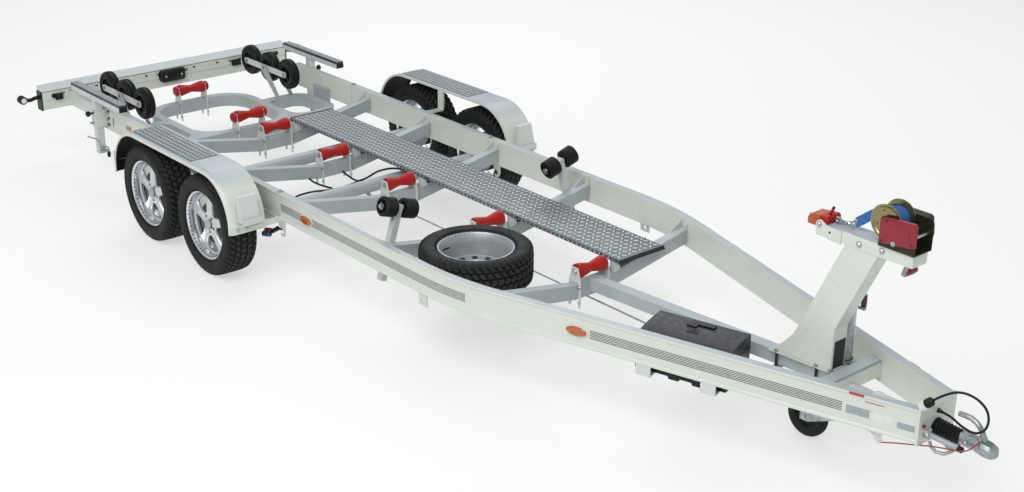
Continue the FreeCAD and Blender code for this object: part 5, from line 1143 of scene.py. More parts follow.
@dataclass
class Fenders:
    """The folded wheel arches with tread plates on top, rubber linings and wheel chocks."""

    rear: float = -730.0
    front: float = 722.0
    inner: float = 935.0
    outer: float = 1168.0
    top: float = 694.0
    foot: float = 366.0
    bend: float = 290.0
    bend_steps: int = 12
    sheet: float = 4.0
    lip: float = 26.0
    stay_end: float = 825.0
    plate_rear: float = -470.0
    plate_front: float = 262.0
    plate_high: float = 1.8

    def arch(self) -> list[tuple[Vector, Vector]]:
        """The arch's line from rear to front.

        Returns:
            Points in x and z, each with the way out of the arch.
        """
        line = [(Vector((self.rear, self.foot)), Vector((-1, 0)))]
        for centre_x, start in ((self.rear + self.bend, 180), (self.front - self.bend, 90)):
            centre = Vector((centre_x, self.top - self.bend))
            for k in range(self.bend_steps + 1):
                a = radians(start - 90 * k / self.bend_steps)
                out = Vector((cos(a), sin(a)))
                line.append((centre + out * self.bend, out))
        return [*line, (Vector((self.front, self.foot)), Vector((1, 0)))]

    def sweep(self, form: Form, side: Side, section: Profile) -> None:
        """Sweeps a section along the arch.

        Args:
            form: The form that it goes into.
            side: The fender's side.
            section: Corners as distance out of the arch and distance from the centre line.
        """
        form.loft([[(point.x + out.x * n, side.value * y, point.y + out.y * n) for n, y in section]
                   for point, out in self.arch()])

    def build(self) -> None:
        """Builds both fenders."""
        for side in Side:
            self.shell(side)
            self.plate(side)
            self.chock(side)
        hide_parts("fenders")

    def shell(self, side: Side) -> bpy.types.Object:
        """The arch with its rolled lip, its stays, its lining and the flap in its rear end."""
        s, inner, outer, lip, sheet = side.value, self.inner, self.outer, self.lip, self.sheet
        form = Form("fender_" + side.word, SHELL)
        self.sweep(form, side, (
            (0, inner), (0, outer - 34), (-2.5, outer - 20), (-7, outer - 10), (-12, outer - 3),
            (-17, outer), (4 - lip, outer), (-lip, outer - 2), (-lip, outer - 6), (4 - lip, outer - 8),
            (6 - lip, outer - 4), (-18, outer - 4), (-13, outer - 8), (-sheet - 3, outer - 24),
            (-sheet, outer - 36), (-sheet, inner + 8), (-14, inner + 6), (-14, inner)))
        for x, low, high in ((self.rear + sheet, 440, 500), (self.front - sheet - 6, 372, 412)):
            form.block((x, s * (outer - 4), low), (x + 6, s * self.stay_end, high))
        form.block((-4, s * (inner + 30), 560), (4, s * (inner - 2), self.top - 3))
        form.prism(((-30, 545), (30, 545), (30, self.top - 3), (-30, self.top - 3)), "y",
                   s * (inner + 1), s * (inner - 4))
        form.block((-30, s * (inner - 2), 545), (30, s * (self.stay_end + 1), 551.5))
        self.sweep(form.use(RUBBER), side, (
            (-5, inner + 9), (-5, outer - 37), (-9, outer - 24), (-15, outer - 9), (-lip - 4, outer - 7),
            (-lip - 4, outer - 9), (-17, outer - 11), (-11, outer - 26), (-7.5, outer - 38),
            (-7.5, inner + 9)))
        form.block((self.rear + 9, s * (outer - 12), self.foot), (self.rear + 14, s * (inner + 10), 430))
        form.use(BRIGHT)
        for x, way, z, places in ((self.rear, -1, 470, (inner + 25, outer - 40)),
                                  (self.front, 1, 392, (outer - 115, outer - 50))):
            for y in places:
                form.bolt((x, s * y, z), (way, 0, 0), 17, 7)
        return form.piece("trailer", "rail_paint", edge=0.8)

    def plate(self, side: Side) -> None:
        """The dark tread plate let into the fender's top."""
        low_y, high_y = sorted((side.value * (self.inner + 22), side.value * (self.outer - 26)))
        head = self.top + self.plate_high
        form = Form("fender_tread_plate_" + side.word, TREAD_SHEET)
        form.block((self.plate_rear, low_y, self.top - 0.5), (self.plate_front, high_y, head))
        form.use(TREAD_BAR).bars((self.plate_rear + 8, low_y + 6), (self.plate_front - 8, high_y - 6),
                                 head, 29.0, 1.6)
        form.piece("trailer", "tread_plate")

    def chock(self, side: Side) -> None:
        """The wheel chock in its holder on the fender's front end."""
        s, x = side.value, self.front
        y0, y1 = s * (self.inner + 62), s * (self.outer - 52)
        form = Form("wheel_chock_" + side.word, PALE)
        form.prism(((x, 440), (x + 62, 440), (x + 52, 480), (x + 18, 595), (x - 4, 600)), "y", y0, y1)
        form.block((x - 1, y0 - s * 8, 428), (x + 66, y1 + s * 8, 434))
        form.block((x + 62, y0 - s * 8, 428), (x + 66, y1 + s * 8, 472))
        form.piece("trailer", edge=2.0)


@dataclass
class RoadWheels:
    """Tyres, alloy wheels and the brake drums behind them."""

    wheelbase: float = 704.0
    y: float = 1047.0
    radius: float = 313.5
    rim: float = 210.0
    disc: float = 52.0
    drum: float = 128.0
    bolt_circle: float = 50.0

    def build(self) -> None:
        """Builds the four wheels with their brake drums."""
        for end in End:
            for side in Side:
                centre = Vector((end.value * self.wheelbase / 2, side.value * self.y, self.radius))
                name = "%s_%s" % (end.word, side.word)
                self.tyre("road_tyre_" + name, centre, Vector((0, side.value, 0))).piece(
                    "wheel_" + name, "tyre_rubber", ["tyre_" + name])
                self.alloy("alloy_wheel_" + name, centre, side.value).piece(
                    "wheel_" + name, "alloy", ["rim_" + name])
                self.drum_cover(name, centre, side.value)

    def tyre(self, name: str, centre: Vector, axis: Vector) -> Form:
        """A road tyre with ribs, cross grooves and rings on its sidewalls.

        Args:
            name: The piece's name.
            centre: The wheel's middle.
            axis: The wheel's axle.

        Returns:
            The tyre as a form.
        """
        half = ((81, 203.5), (81, 212), (86, 214), (97, 226), (98.5, 228), (98, 231), (101, 246), (102, 262),
                (101.2, 270), (102, 271.5), (101.4, 274), (99, 287), (94, 299), (90, 305), (86, 308.5),
                (80, 310.5), (72, 311.5), (64, 312.3), (62, 304.5), (56, 304.5), (54, 312.8), (45, 313.1),
                (36, 313.3), (27, 313.4), (25, 304.5), (18, 304.5), (16, 313.5), (8, 313.5), (1, 313.5))

        def groove(step: int, t: float) -> float:
            """Cross grooves that lean back from the tread's middle to both shoulders."""
            away = abs(t)
            if away > 95 or 55 < away < 63 or 17 < away < 26:
                return 0.0
            return 8.0 if (step - round(away / 9)) % 6 < 2 else 0.0

        form = Form(name, TYRE).turned(both_ways(half), centre, axis, 288, groove).use(TYRE_BLOCK)
        # Only the block tops take the dusty finish: the groove floors stay dark as painted shade in the
        # grooves.
        for face in form.mesh.faces:
            middle = face.calc_center_median() - centre
            away = abs(middle.dot(axis))
            if away < 92 and sqrt(middle.length_squared - away**2) > 309:
                face.material_index = form.current
        return form

    def alloy(self, name: str, centre: Vector, out: int) -> Form:
        """A five-spoke alloy wheel with a turned lip, wheel bolts and a centre cap.

        Args:
            name: The piece's name.
            centre: The wheel's middle.
            out: 1 or -1, the way to the outside along y.

        Returns:
            The wheel as a form.
        """
        axis = Vector((0, out, 0))
        rim, face = self.rim, self.disc
        form = Form(name, POLISHED)
        form.turned(((88, rim), (84, rim), (81, 204), (-81, 203), (-84, rim), (-88, rim), (-88, 203),
                     (-82, 197), (-40, 191), (30, 191), (60, 193), (80, 198), (86, 205)), centre, axis, 80)
        form.use(ALLOY).turned(((face - 17, 31), (face + 1, 31), (face + 2, 40), (face, 60),
                                (face - 4, 74), (face - 17, 72)), centre, axis, 60)
        for u, v in spokes(5, 0.25):
            rings = []
            for r, w, top in ((58, 36, 0), (78, 31, -1), (100, 29, -2), (125, 30, -3), (148, 34, -5),
                              (166, 44, -7), (180, 58, -9)):
                core = centre + u * r + axis * face
                shape = ((-w, top - 20), (-w, top - 9), (-w * 0.86, top - 2), (-w * 0.62, top),
                         (w * 0.62, top), (w * 0.86, top - 2), (w, top - 9), (w, top - 20))
                rings.append([core + v * x + axis * t for x, t in shape])
            form.loft(rings)
        form.turned(((face - 27, 178), (face - 12, 178), (face - 8, 183), (face - 6, 190), (face - 27, 190)),
                    centre, axis, 80)
        form.use(BLACK_PLASTIC).turned(((face - 10, 0), (face - 10, 30), (face + 5, 30), (face + 8, 25),
                                        (face + 8.5, 0)), centre, axis, 40)
        for u, _ in spokes(5, 0.75):
            place = centre + u * self.bolt_circle + axis * (face + 1.2)
            # A dark disc round each nut: painted shade in its recess.
            form.use(BLACK_STEEL).disc(place, axis, 11, -0.6, 0.5)
            form.use(BRIGHT).turned(((0, 0), (0, 8), (3.5, 8), (4.5, 6), (4.5, 0)), place, axis, 6)
        form.rod(centre + axis * 70 + Vector((0, 0, 190)), centre + axis * 92 + Vector((0, 0, 186)), 4, 10)
        return form

    def drum_cover(self, name: str, centre: Vector, out: int) -> None:
        """The brake drum's dark skin with its cooling ribs."""
        face, skin = self.disc - 17.5, self.drum + 0.6
        rings = [(face - 84, 60), (face - 84, skin)]
        for k in range(5):
            t = face - 74 + k * 14
            rings += [(t - 2, skin), (t, self.drum + 3), (t + 5, self.drum + 3), (t + 7, skin)]
        rings += [(face - 3, skin), (face + 0.2, self.drum - 4), (face + 0.2, 60)]
        Form("brake_drum_" + name, DRUM).turned(rings, centre, (0, out, 0), 56).piece("trailer")


@dataclass
class SpareWheel:
    """The spare wheel lying dish side up on its carrier."""

    wheels: RoadWheels
    x: float = 2055.0
    y: float = -430.0
    z: float = 352.0

    def build(self) -> None:
        """Builds the tyre and the pressed steel wheel."""
        centre = Vector((self.x, self.y, self.z + 102))
        down = Vector((0, 0, -1))
        self.wheels.tyre("spare_road_tyre", centre, down).piece("trailer", "tyre_rubber", ["spare_tyre"])
        form = Form("spare_steel_wheel", STEEL_WHEEL)
        form.turned(((88, 210), (84, 210), (81, 204), (30, 199), (-20, 197), (-81, 203), (-84, 210),
                     (-88, 210), (-89, 204), (-80, 196), (-30, 188), (10, 190), (40, 186), (52, 170),
                     (53, 140), (46, 118), (40, 100), (46, 80), (52, 66), (51, 31), (36, 31), (36, 62),
                     (28, 96), (34, 122), (36, 168), (60, 194), (84, 200)), centre, down, 80)
        # Dark discs at the bolt holes and vent holes: painted shade in the holes.
        form.use(BLACK_STEEL)
        for count, radius, steps, hole_shade in ((5, 50, 16, ((26, 0), (26, 9), (37, 9), (37, 0))),
                                           (10, 118, 18, ((20, 0), (24, 15), (29, 15), (29, 0)))):
            for out, _ in spokes(count):
                form.turned(hole_shade, centre + Vector((out.x, out.z, 0)) * radius, down, steps)
        form.use(RUBBER)
        form.rod(centre + Vector((-120, -130, 60)), centre + Vector((-95, -105, 78)), 5, 12)
        form.piece("trailer", "rim_steel", ["spare_rim"])


@dataclass
class LightBar:
    """The pull-out light beam with its lamps and stalks."""

    rear: float = -2185.0
    deep: float = 70.0
    half: float = 1020.0
    low: float = 405.0
    front_top: float = 545.0
    stalk_end: float = 1150.0
    fields: tuple = ((RED_LENS, 0.03, 0.42), (AMBER_LENS, 0.43, 0.72), (CLEAR_LENS, 0.73, 0.97))
    leads: tuple = (((-895, 500), (-872, 506), (-850, 515)), ((-112, 515), (-104, 505), (-94, 495)),
                    ((114, 495), (128, 506), (140, 517)), ((500, 518), (515, 508), (530, 500)))

    def build(self) -> None:
        """Builds everything on the light beam."""
        self.lamps()
        self.fittings()

    def lamps(self) -> None:
        """The lamps, the beam's end caps and the bare number-plate board."""
        rear = self.rear
        form = Form("light_beam_lamps", BLACK_PLASTIC)
        for sign in SIGNS:
            self.tail_lamp(form, sign)
            self.stalk(form, sign)
            form.use(BLACK_PLASTIC)
            form.block((rear - 2, sign * self.half - 6, self.low - 2),
                       (rear + self.deep + 2, sign * self.half + 4, self.front_top - 3))
        form.use(PALE).block((rear - 4, -260, 431), (rear + 0.5, 260, 541))
        form.use(BLACK_STEEL)
        for y in (-180, 180):
            form.bolt((rear - 4, y, 520), (-1, 0, 0), 10, 4)
        form.piece("light_bar", "lamp_plastic", ["lamps"], edge=1.2)

    def fittings(self) -> None:
        """The junction box, the clips, the leads' ends and dark strips painted as the shade along the fold
        lines on the front face.
        """
        front = self.rear + self.deep
        sunk, end = front - 0.5, self.half - 12
        form = Form("light_beam_fittings", BLACK_PLASTIC)
        form.loft([[(sunk, y, low), (front + deep - 6, y, low), (front + deep, y, low + 8),
                    (front + deep, y, high - 8), (front + deep - 6, y, high), (sunk, y, high)]
                   for y, low, high, deep in ((-98, 470, 515, 14), (-88, 452, 532, 30), (-70, 446, 538, 36),
                                              (90, 446, 538, 36), (108, 452, 532, 30), (118, 470, 515, 14))])
        for y, half in ((561, 34), (-895, 26), (895, 26)):
            form.block((sunk, y - half, 470), (front + 24, y + half, 514))
        form.use(BRIGHT)
        for y in (-55, 75):
            form.bolt((front + 36, y, 492), (1, 0, 0), 13, 5)
        # A grey strip along the lower fold line: painted shade in the fold.
        form.use(CHASSIS).block((sunk, -end, 470), (front + 1.2, end, 473))
        form.use(BLACK_PLASTIC)
        for y in (-930, 930):
            form.turned(((-0.5, 0), (-0.5, 17), (4, 17), (6, 12), (6, 0)), (front, y, 500), (1, 0, 0), 24)
        for y in range(-800, 900, 200):
            form.block((sunk, y - 9, 512), (front + 6, y + 9, 520))
        for line in self.leads:
            form.tube([(front + 8, y, z) for y, z in line], 4.5, 8)
        # A black strip along the upper fold line: painted shade in the fold.
        form.block((sunk, -end, self.front_top - 9), (front + 0.8, end, self.front_top - 6))
        form.piece("light_bar", edge=0.8)

    def tail_lamp(self, form: Form, sign: int) -> None:
        """A tail lamp: black housing with red, amber and clear fields."""
        y0, y1 = sorted((sign * (self.half - 60), sign * (self.half - 300)))
        form.use(BLACK_PLASTIC).block((self.rear - 36, y0, 425), (self.rear + 0.5, y1, 555))
        for finish, start, end in self.fields:
            a, b = (start, end) if sign > 0 else (1 - end, 1 - start)
            form.use(finish).block((self.rear - 42, y0 + (y1 - y0) * a, 431),
                                   (self.rear - 30, y0 + (y1 - y0) * b, 549))

    def stalk(self, form: Form, sign: int) -> None:
        """A marker lamp, red to the rear and clear to the front, on its bent rubber arm."""
        middle = self.rear + self.deep / 2
        form.use(RUBBER).tube([(middle, sign * y, z) for y, z in (
            (self.half + 2, 500), (self.half + 40, 496), (1090, 488), (1120, 492),
            (self.stalk_end, 500))], 14, 14)
        lamp = (middle, sign * self.stalk_end, 500)
        form.turned(((-30, 0), (-30, 20), (-24, 29), (24, 29), (30, 20), (30, 0)), lamp, (1, 0, 0), 32)
        for finish, way in ((RED_LENS, -1), (CLEAR_LENS, 1)):
            form.use(finish).turned(((24, 0), (24, 22), (33, 18), (36, 0)), lamp, (way, 0, 0), 28)


@dataclass
class Winch:
    """The winch post with its arm, bow stop and strap winch."""

    arm_half: float = 52.0
    drum_x: float = 4360.0
    drum_z: float = 1296.0
    flange: float = 80.0
    holes_turn: float = 0.8 / pi
    crank_x: float = 4424.0
    crank_z: float = 1222.0
    crank_long: float = 225.0
    crank_lean: float = radians(196.0)
    stop_z: float = 1198.0
    studs: tuple = (3834.0, 4069.0, 4150.0)
    beam: tuple = ((2528.0, 405.0), (4170.0, 490.0))

    def beam_top(self, x: float) -> float:
        """The height of the centre beam's upper face, which rises towards the nose."""
        (x0, z0), (x1, z1) = self.beam
        return z0 + (z1 - z0) * (x - x0) / (x1 - x0)

    def build(self) -> None:
        """Builds everything on the winch post."""
        self.drum()
        self.strap()
        self.near_cover()
        self.far_cover()
        self.stop()
        self.stop_bracket()
        self.post_fittings()
        self.handle()

    def drum(self) -> None:
        """The yellow flanges with the wound strap between them."""
        centre = Vector((self.drum_x, 0, self.drum_z))
        form = Form("winch_drum_and_strap", YELLOW_ZINC)
        for sign in SIGNS:
            axis = Vector((0, sign, 0))
            form.use(YELLOW_ZINC).turned(((45, 12.1), (50, 12.1), (48, 30), (48, 64), (51, 68), (55, 74),
                                          (55, 78), (52, self.flange), (48, self.flange - 1), (46, 72)),
                                         centre, axis, 60)
            # Dark discs on the flanges: painted shade in their holes.
            form.use(BLACK_STEEL)
            for out, _ in spokes(4, self.holes_turn):
                form.disc(centre + out * 50 + axis * 48, axis, 4, -0.2, 0.3, 18)
        skin = [(-44 + 88 * k / 7, 52 if k % 2 else 51) for k in range(8)]
        form.use(STRAP).turned([(-44, 12.2), *skin, (44, 12.2)], centre, (0, 1, 0), 48)
        form.piece("drum", "yellow_zinc", ["winch_drum"])

    def strap(self) -> None:
        """The strap from the drum, turned on its edge, to its hook over the bow stop."""
        form = Form("winch_strap", STRAP)
        rings = []
        for x, z, turn in ((self.drum_x - 2, self.drum_z + 52.5, 0), (self.drum_x - 22, self.drum_z + 47, 8),
                           (self.drum_x - 44, self.drum_z + 34, 30), (self.drum_x - 78, self.drum_z + 12, 62),
                           (4240, 1275, 74), (4204, 1246, 78), (4172, 1222, 74)):
            a = radians(turn)
            wide = Vector((-sin(a) * 0.45, cos(a), sin(a) * 0.9)).normalized() * 23
            across = Vector((0.45, 0, 0.9)).cross(wide).normalized() if turn > 45 else Vector((-0.4, 0, 1))
            core, thick = Vector((x, 0, z)), across * 1.3
            rings.append([core - wide - thick, core + wide - thick, core + wide + thick, core - wide + thick])
        form.loft(rings).use(BRIGHT).rod((4164, -8, 1194), (4176, 4, 1240), 5.5, 12)
        for x, y, z in ((4165, -7, 1196), (4175, 3, 1238)):
            form.rod((x, y, z), (4136, 0, 1206), 4.5, 12)
        form.tube(smooth(((4142, 0, 1208), (4122, 0, 1203), (4096, 0, 1199), (4076, 0, 1197),
                          (4066, 0, 1203), (4068, 0, 1212), (4080, 0, 1215))), 6.5, 12)
        form.tube([(4118, 0, 1208), (4098, 0, 1210), (4078, 0, 1214)], 3, 8)
        form.turned(((-9, 0), (-9, 9), (0, 12), (9, 9), (9, 0)), (4138, 0, 1207), (1, 0, 0.1), 16)
        form.piece("trailer")

    def near_cover(self) -> None:
        """The crimson cover on the right-hand side with its raised field and screws."""
        form = Form("winch_near_cover", RED_NYLON)
        rings = []
        for y, inset in ((-63.2, 0.0), (-73, 0.0), (-77, 3.0), (-79, 7.0)):
            x0, x1, z0, z1 = 4345 + inset, 4530 - inset, 1203 + inset, 1322 - inset
            rings.append([(x, y, z) for x, z in (
                (x0 + 6, z0), (x1 - 6, z0 + 22), (x1, z0 + 28), (x1, z1 + 6), (x1 - 8, z1 + 16),
                (x0 + 90, z1 + 10), (x0 + 22, z1 + 3), (x0 + 4, z1 - 8), (x0, z1 - 22), (x0, z0 + 6))])
        form.loft(rings)
        form.prism(((4385, 1226), (4500, 1240), (4500, 1310), (4385, 1298)), "y", -80.2, -78.5)
        form.use(DARK_NYLON)
        for x, z in ((4362, 1216), (4514, 1240), (4380, 1314)):
            form.bolt((x, -79, z), (0, -1, 0), 9, 3)
        form.piece("trailer", edge=1.5)

    def far_cover(self) -> None:
        """The dark gear cover on the left-hand side and the spindle between the frame's cheeks."""
        form = Form("winch_far_cover", DARK_NYLON)
        outline = [(4352, 1192), (4446, 1180), (4474, 1184), (4492, 1204), (4498, 1246), (4493, 1290),
                   (4476, 1312), (4440, 1321), (4372, 1323), (4352, 1312)]
        form.prism(outline, "y", 63.4, 70).prism(outline, "y", 96, 111)
        skin = outline[2:9]
        inner = [(x - 6, z - 6 if z > 1260 else z + 6) for x, z in reversed(skin)]
        form.prism(skin + inner, "y", 69, 97)
        form.use(BRIGHT).rod((4500, -57, 1262), (4500, 57, 1262), 8, 16)
        form.piece("trailer", edge=1.5)

    def stop(self) -> None:
        """The orange bow stop with its V and the red block behind it."""
        form = Form("orange_bow_stop", ORANGE_RUBBER)
        for low, high, rear, front in ((1164.0, self.stop_z, 3940.0, 3999.5),
                                       (self.stop_z, 1213.0, 3947.0, 4010.0)):
            form.prism(((rear + 3, -46), (front, -46), (front, 46), (rear + 3, 46), (rear, 40),
                        (rear + 12, 24), (3974, 5), (3974, -5), (rear + 12, -24), (rear, -40)),
                       "z", low, high)
        form.prism(((3999, -46), (4010, -46), (4010, 46), (3999, 46)), "z", 1187, 1199)
        form.prism(((3952, 1212), (4010, 1212), (4010, 1219)), "y", -45, 45)
        form.use(RED_VINYL).prism(((4010, 1187), (4052, 1187), (4056, 1192), (4056, 1214), (4046, 1222),
                                   (4010, 1219)), "y", -47, 47)
        form.piece("trailer", "red_rubber", ["bow_stop"], edge=3.5)

    def stop_bracket(self) -> None:
        """The bow stop's cheeks with their bolts, and the small red bar above them."""
        form = Form("bow_stop_bracket", SHELL)
        cheek = ((3998, 1160), (4004, 1144), (4022, 1134), (4090, 1124), (4140, 1122), (4140, 1184),
                 (4056, 1188), (4044, 1196), (4026, 1206), (4008, 1200), (3999, 1184))
        for sign in SIGNS:
            form.prism(cheek, "y", sign * 52.2, sign * 57)
        for sign in SIGNS:
            form.use(BRIGHT).bolt((4018, sign * 57, 1183), (0, sign, 0), 19, 9)
            # A dark disc on each cheek: painted shade in a hole.
            form.use(BLACK_STEEL).disc((4078, sign * 57, 1160), (0, sign, 0), 5.5, -0.5, 0.6)
        form.use(RED_VINYL).rod((4030, -6, 1214), (4050, -6, 1256), 6.5, 16)
        form.use(BLACK_PLASTIC).rod((4048, -6, 1252), (4052, -6, 1261), 7.0, 16)
        form.piece("trailer", edge=1.0)

    def post_fittings(self) -> None:
        """Bolts on the arm, the folded edge strips, the studs of the base flange and a black sheet painted as
        the shade inside the post's open front.
        """
        form = Form("winch_post_fittings", BRIGHT)
        for sign in SIGNS:
            for x, z in ((4236, 1152), (4356, 1160)):
                form.use(BRIGHT).bolt((x, sign * self.arm_half, z), (0, sign, 0), 21, 9, 15)
            for x in self.studs:
                z = self.beam_top(x)
                form.use(BLACK_STEEL).rod((x, sign * 46, z - 88), (x, sign * 46, z + 2), 6.5, 12)
                form.use(BRIGHT).bolt((x, sign * 50, z + 8), (0, 0, 1), 19, 10)
                form.bolt((x, sign * 46, z - 84), (0, 0, -1), 17, 9)
            form.use(SHELL)
            for corners in (((3968, 612), (3978, 612), (4206, 1124), (4196, 1124)),
                            ((3818, 486), (3834, 486), (3978, 608), (3968, 612))):
                form.prism(corners, "y", sign * 49.5, sign * 50.9)
        form.use(CHASSIS)
        for x in self.studs:
            z = self.beam_top(x)
            form.block((x - 20, -58, z - 84), (x + 20, 58, z - 77))
        # A thin black sheet in the post's open front: painted shade inside the channel.
        form.use(BLACK_STEEL).block((4149, -36, 500), (4150.8, 44, 640))
        form.piece("trailer", edge=0.8)

    def handle(self) -> None:
        """The crank's dark red grip and its hub nut."""
        x = self.crank_x + self.crank_long * sin(self.crank_lean)
        z = self.crank_z + self.crank_long * cos(self.crank_lean)
        skin = [(8 + 80 * k / 12, 14.6 + 2.0 * sin(pi * k / 12) + (0.8 if k % 2 else 0))
                for k in range(13)]
        form = Form("winch_crank_grip", RED_NYLON)
        form.turned([(6, 6), *skin, (90, 6)], (x, 120, z), (0, 1, 0), 28)
        form.use(BRIGHT).bolt((self.crank_x, 126, self.crank_z), (0, 1, 0), 24, 11)
        form.piece("crank")


@dataclass
class Jockey:
    """The jockey wheel with its axle nuts, and the clamp and crank grip on its tube."""

    x: float = 4098.0
    y: float = 130.0
    trail: float = 180.0
    radius: float = 115.0

    def build(self) -> None:
        """Builds the wheel, its nuts and the clamp."""
        centre = (self.x - self.trail, self.y, self.radius)
        form = Form("black_jockey_wheel", RUBBER)
        half = ((18, 62), (22, 64), (25, 76), (26, 96), (23, 106), (16, 112), (9, 114), (7, 111), (4, 111),
                (2, 115))
        form.turned(both_ways(half), centre, (0, 1, 0), 56)
        for sign in SIGNS:
            form.turned(((3, 8.1), (26, 8.1), (26, 20), (14, 26), (10, 40), (12, 54), (20, 60), (20, 64),
                         (3, 64)), centre, (0, sign, 0), 48)
        form.piece("nose_wheel", "black_rubber", ["jockey_wheel"])
        Form("jockey_axle_nuts", BRIGHT).bolt_pair(centre, 36, 24, 10).piece("fork")
        form = Form("jockey_clamp", BLACK_STEEL)
        form.turned(((0, 25.5), (0, 36), (10, 38), (56, 38), (66, 36), (66, 25.5)),
                    (self.x, self.y, 425), (0, 0, 1), 32)
        form.turned(((0, 20), (0, 34), (8, 34), (12, 30), (12, 20)), (self.x, self.y, 752), (0, 0, 1), 32)
        form.rod((self.x - 20, self.y + 36, 458), (self.x - 20, self.y + 86, 458), 6, 12)
        form.use(DARK_NYLON).rod((self.x + 70, self.y, 772), (self.x + 70, self.y, 838), 13.5, 24, 4)
        form.piece("trailer")


@dataclass
class Coupling:
    """The nose plate, bellows, ball coupling and their levers."""

    z: float = 430.0
    nose: float = 4697.0
    plate_half: float = 134.94
    plate_thick: float = 12.0
    rear: float = 4828.0
    cup: float = 4962.0
    gland: tuple = (-10.0, 515.0)
    folds: int = 16

    def build(self) -> None:
        """Builds everything in front of the rails."""
        self.frame()
        self.sleeve()
        self.head()
        self.lever()

    def frame(self) -> None:
        """The nose plate with its tab, the draw plate and tube, the plug's holder and the brake rod."""
        half, back = self.plate_half, self.nose - self.plate_thick
        form = Form("coupling_frame_skin", SHELL)
        form.prism(((-half, 376), (half, 376), (half, 557), (45 - half, 557), (45 - half, 588),
                    (-half, 588)), "x", back, self.nose)
        inner = RAIL.inner(4236) + 4
        form.block((4229, -inner, 421), (4241, inner, 489))
        form.rod((4240, 0, self.z), (self.rear, 0, self.z), 30, 40)
        form.turned(((0, 0), (0, 25), (27, 25), (30, 23.5), (30, 0)), PLUG_FOOT, PLUG_AXIS, 36)
        form.turned(((0, 0), (0, 10.5), (18, 10.5), (20, 9), (20, 0)), (back, *self.gland), (1, 0, 0), 24)
        form.use(ZINC)
        form.rod((540, -30, 294), (4300, -30, 294), 5, 16)
        form.block((470, -37, 285), (494, -23, 302)).block((470, -37, 285), (540, -23, 293))
        form.block((4300, -44, 285), (4316, 0, 430))
        form.piece("trailer", "rail_paint", ["coupling_frame"], edge=1.0)

    def sleeve(self) -> None:
        """The ribbed bellows, which taper towards the head."""
        long = self.rear - self.nose
        skin = [(long * k / self.folds, 42.5 - 6 * k / self.folds - (7 if k % 2 else 0))
                for k in range(1, self.folds)]
        form = Form("ribbed_bellows", RUBBER)
        form.turned([(0, 30.3), (0, 44), *skin, (long, 36), (long, 30.3)],
                    (self.nose, 0, self.z), (1, 0, 0), 48)
        form.piece("trailer", "black_rubber", ["bellows"])

    def head(self) -> None:
        """The cast head: square neck, flattened nose over the ball, latch handle and sticker."""
        z = self.z
        form = Form("ball_coupling_head", CASTING)
        outline = ((-1, -0.6), (-0.8, -1), (0.8, -1), (1, -0.6), (1, 0.5), (0.62, 1), (-0.62, 1), (-1, 0.5))
        form.loft([[(x, w * a, z + (high if b > 0 else -low) * b) for a, b in outline]
                   for x, w, low, high in ((self.rear, 29, -22, 34), (self.rear + 20, 30, -22, 35),
                                           (self.rear + 70, 27, -22, 33), (4920, 32, -24, 31),
                                           (4942, 36, -26, 29), (4966, 37, -27, 26), (4986, 31, -27, 20),
                                           (4998, 16, -24, 12))])
        # A dark disc under the nose: painted shade in the ball cup's opening.
        form.use(BLACK_STEEL).disc((self.cup, 0, z - 26.6), (0, 0, -1), 26, 0, 0.8, 32)
        form.use(GREEN_STICKER).prism(((4926, z + 33.2), (4966, z + 27.6), (4966, z + 29), (4926, z + 34.4)),
                                      "y", -19, 19)
        form.use(ZINC).tube([(x, 0, z + up) for x, up in (
            (4936, 24), (4930, 44), (4921, 64), (4906, 84), (4885, 100), (4860, 109), (4830, 110),
            (4800, 108))], 12, 16)
        form.use(CASTING)
        for sign in SIGNS:
            form.prism(((4896, z + 24), (4944, z + 20), (4936, z + 44), (4916, z + 56), (4902, z + 44)),
                       "y", sign * 11, sign * 16)
        form.use(BRIGHT).bolt_pair((4862, 0, z), 30, 19, 9)
        form.rod((4922, -20, z + 32), (4922, 20, z + 32), 5, 12)
        form.piece("trailer", "cast", ["coupling_head"], edge=2.0)

    def lever(self) -> None:
        """The handbrake lever, the bar below the nose plate, the lead's gland and the breakaway wire."""
        form = Form("handbrake_lever", STEEL_WHEEL)
        form.rod((4702, -76, 424), (4862, -76, 421), 13, 24, 2)
        form.use(BLACK_PLASTIC).rod((4856, -76, 421), (4885, -76, 420), 14.5, 24, 5)
        form.use(BRIGHT).bolt((4712, -90, 424), (0, -1, 0), 22, 10)
        form.use(PALE).block((4697, -92, 396), (4716, -60, 446))
        bar = [(4698, -40, 372), (4708, -42, 350), (4736, -40, 334), (4772, -30, 336), (4792, -12, 350)]
        form.use(ZINC).tube(bar + [(x, -y, z) for x, y, z in reversed(bar)], 8, 12)
        form.use(RED_NYLON).rod((4697, -104, 468), (4712, -104, 468), 9, 16)
        form.use(BRIGHT).rod((4710, -104, 468), (4722, -104, 468), 6, 12)
        form.use(BLACK_PLASTIC).turned(((8, 5.8), (8, 11.5), (18, 9.5), (30, 7), (30, 5.8)),
                                       (self.nose - 4, *self.gland), (1, 0, 0), 20)
        form.use(RED_WIRE)
        form.tube(smooth(((4530, -150, 331), (4600, -130, 350), (4680, -112, 370), (4740, -102, 388),
                          (4810, -98, 406), (4870, -96, 420), (4908, -84, 434), (4922, -54, 450),
                          (4926, -24, 464))), 3.2, 8)
        form.piece("trailer", edge=1.0)


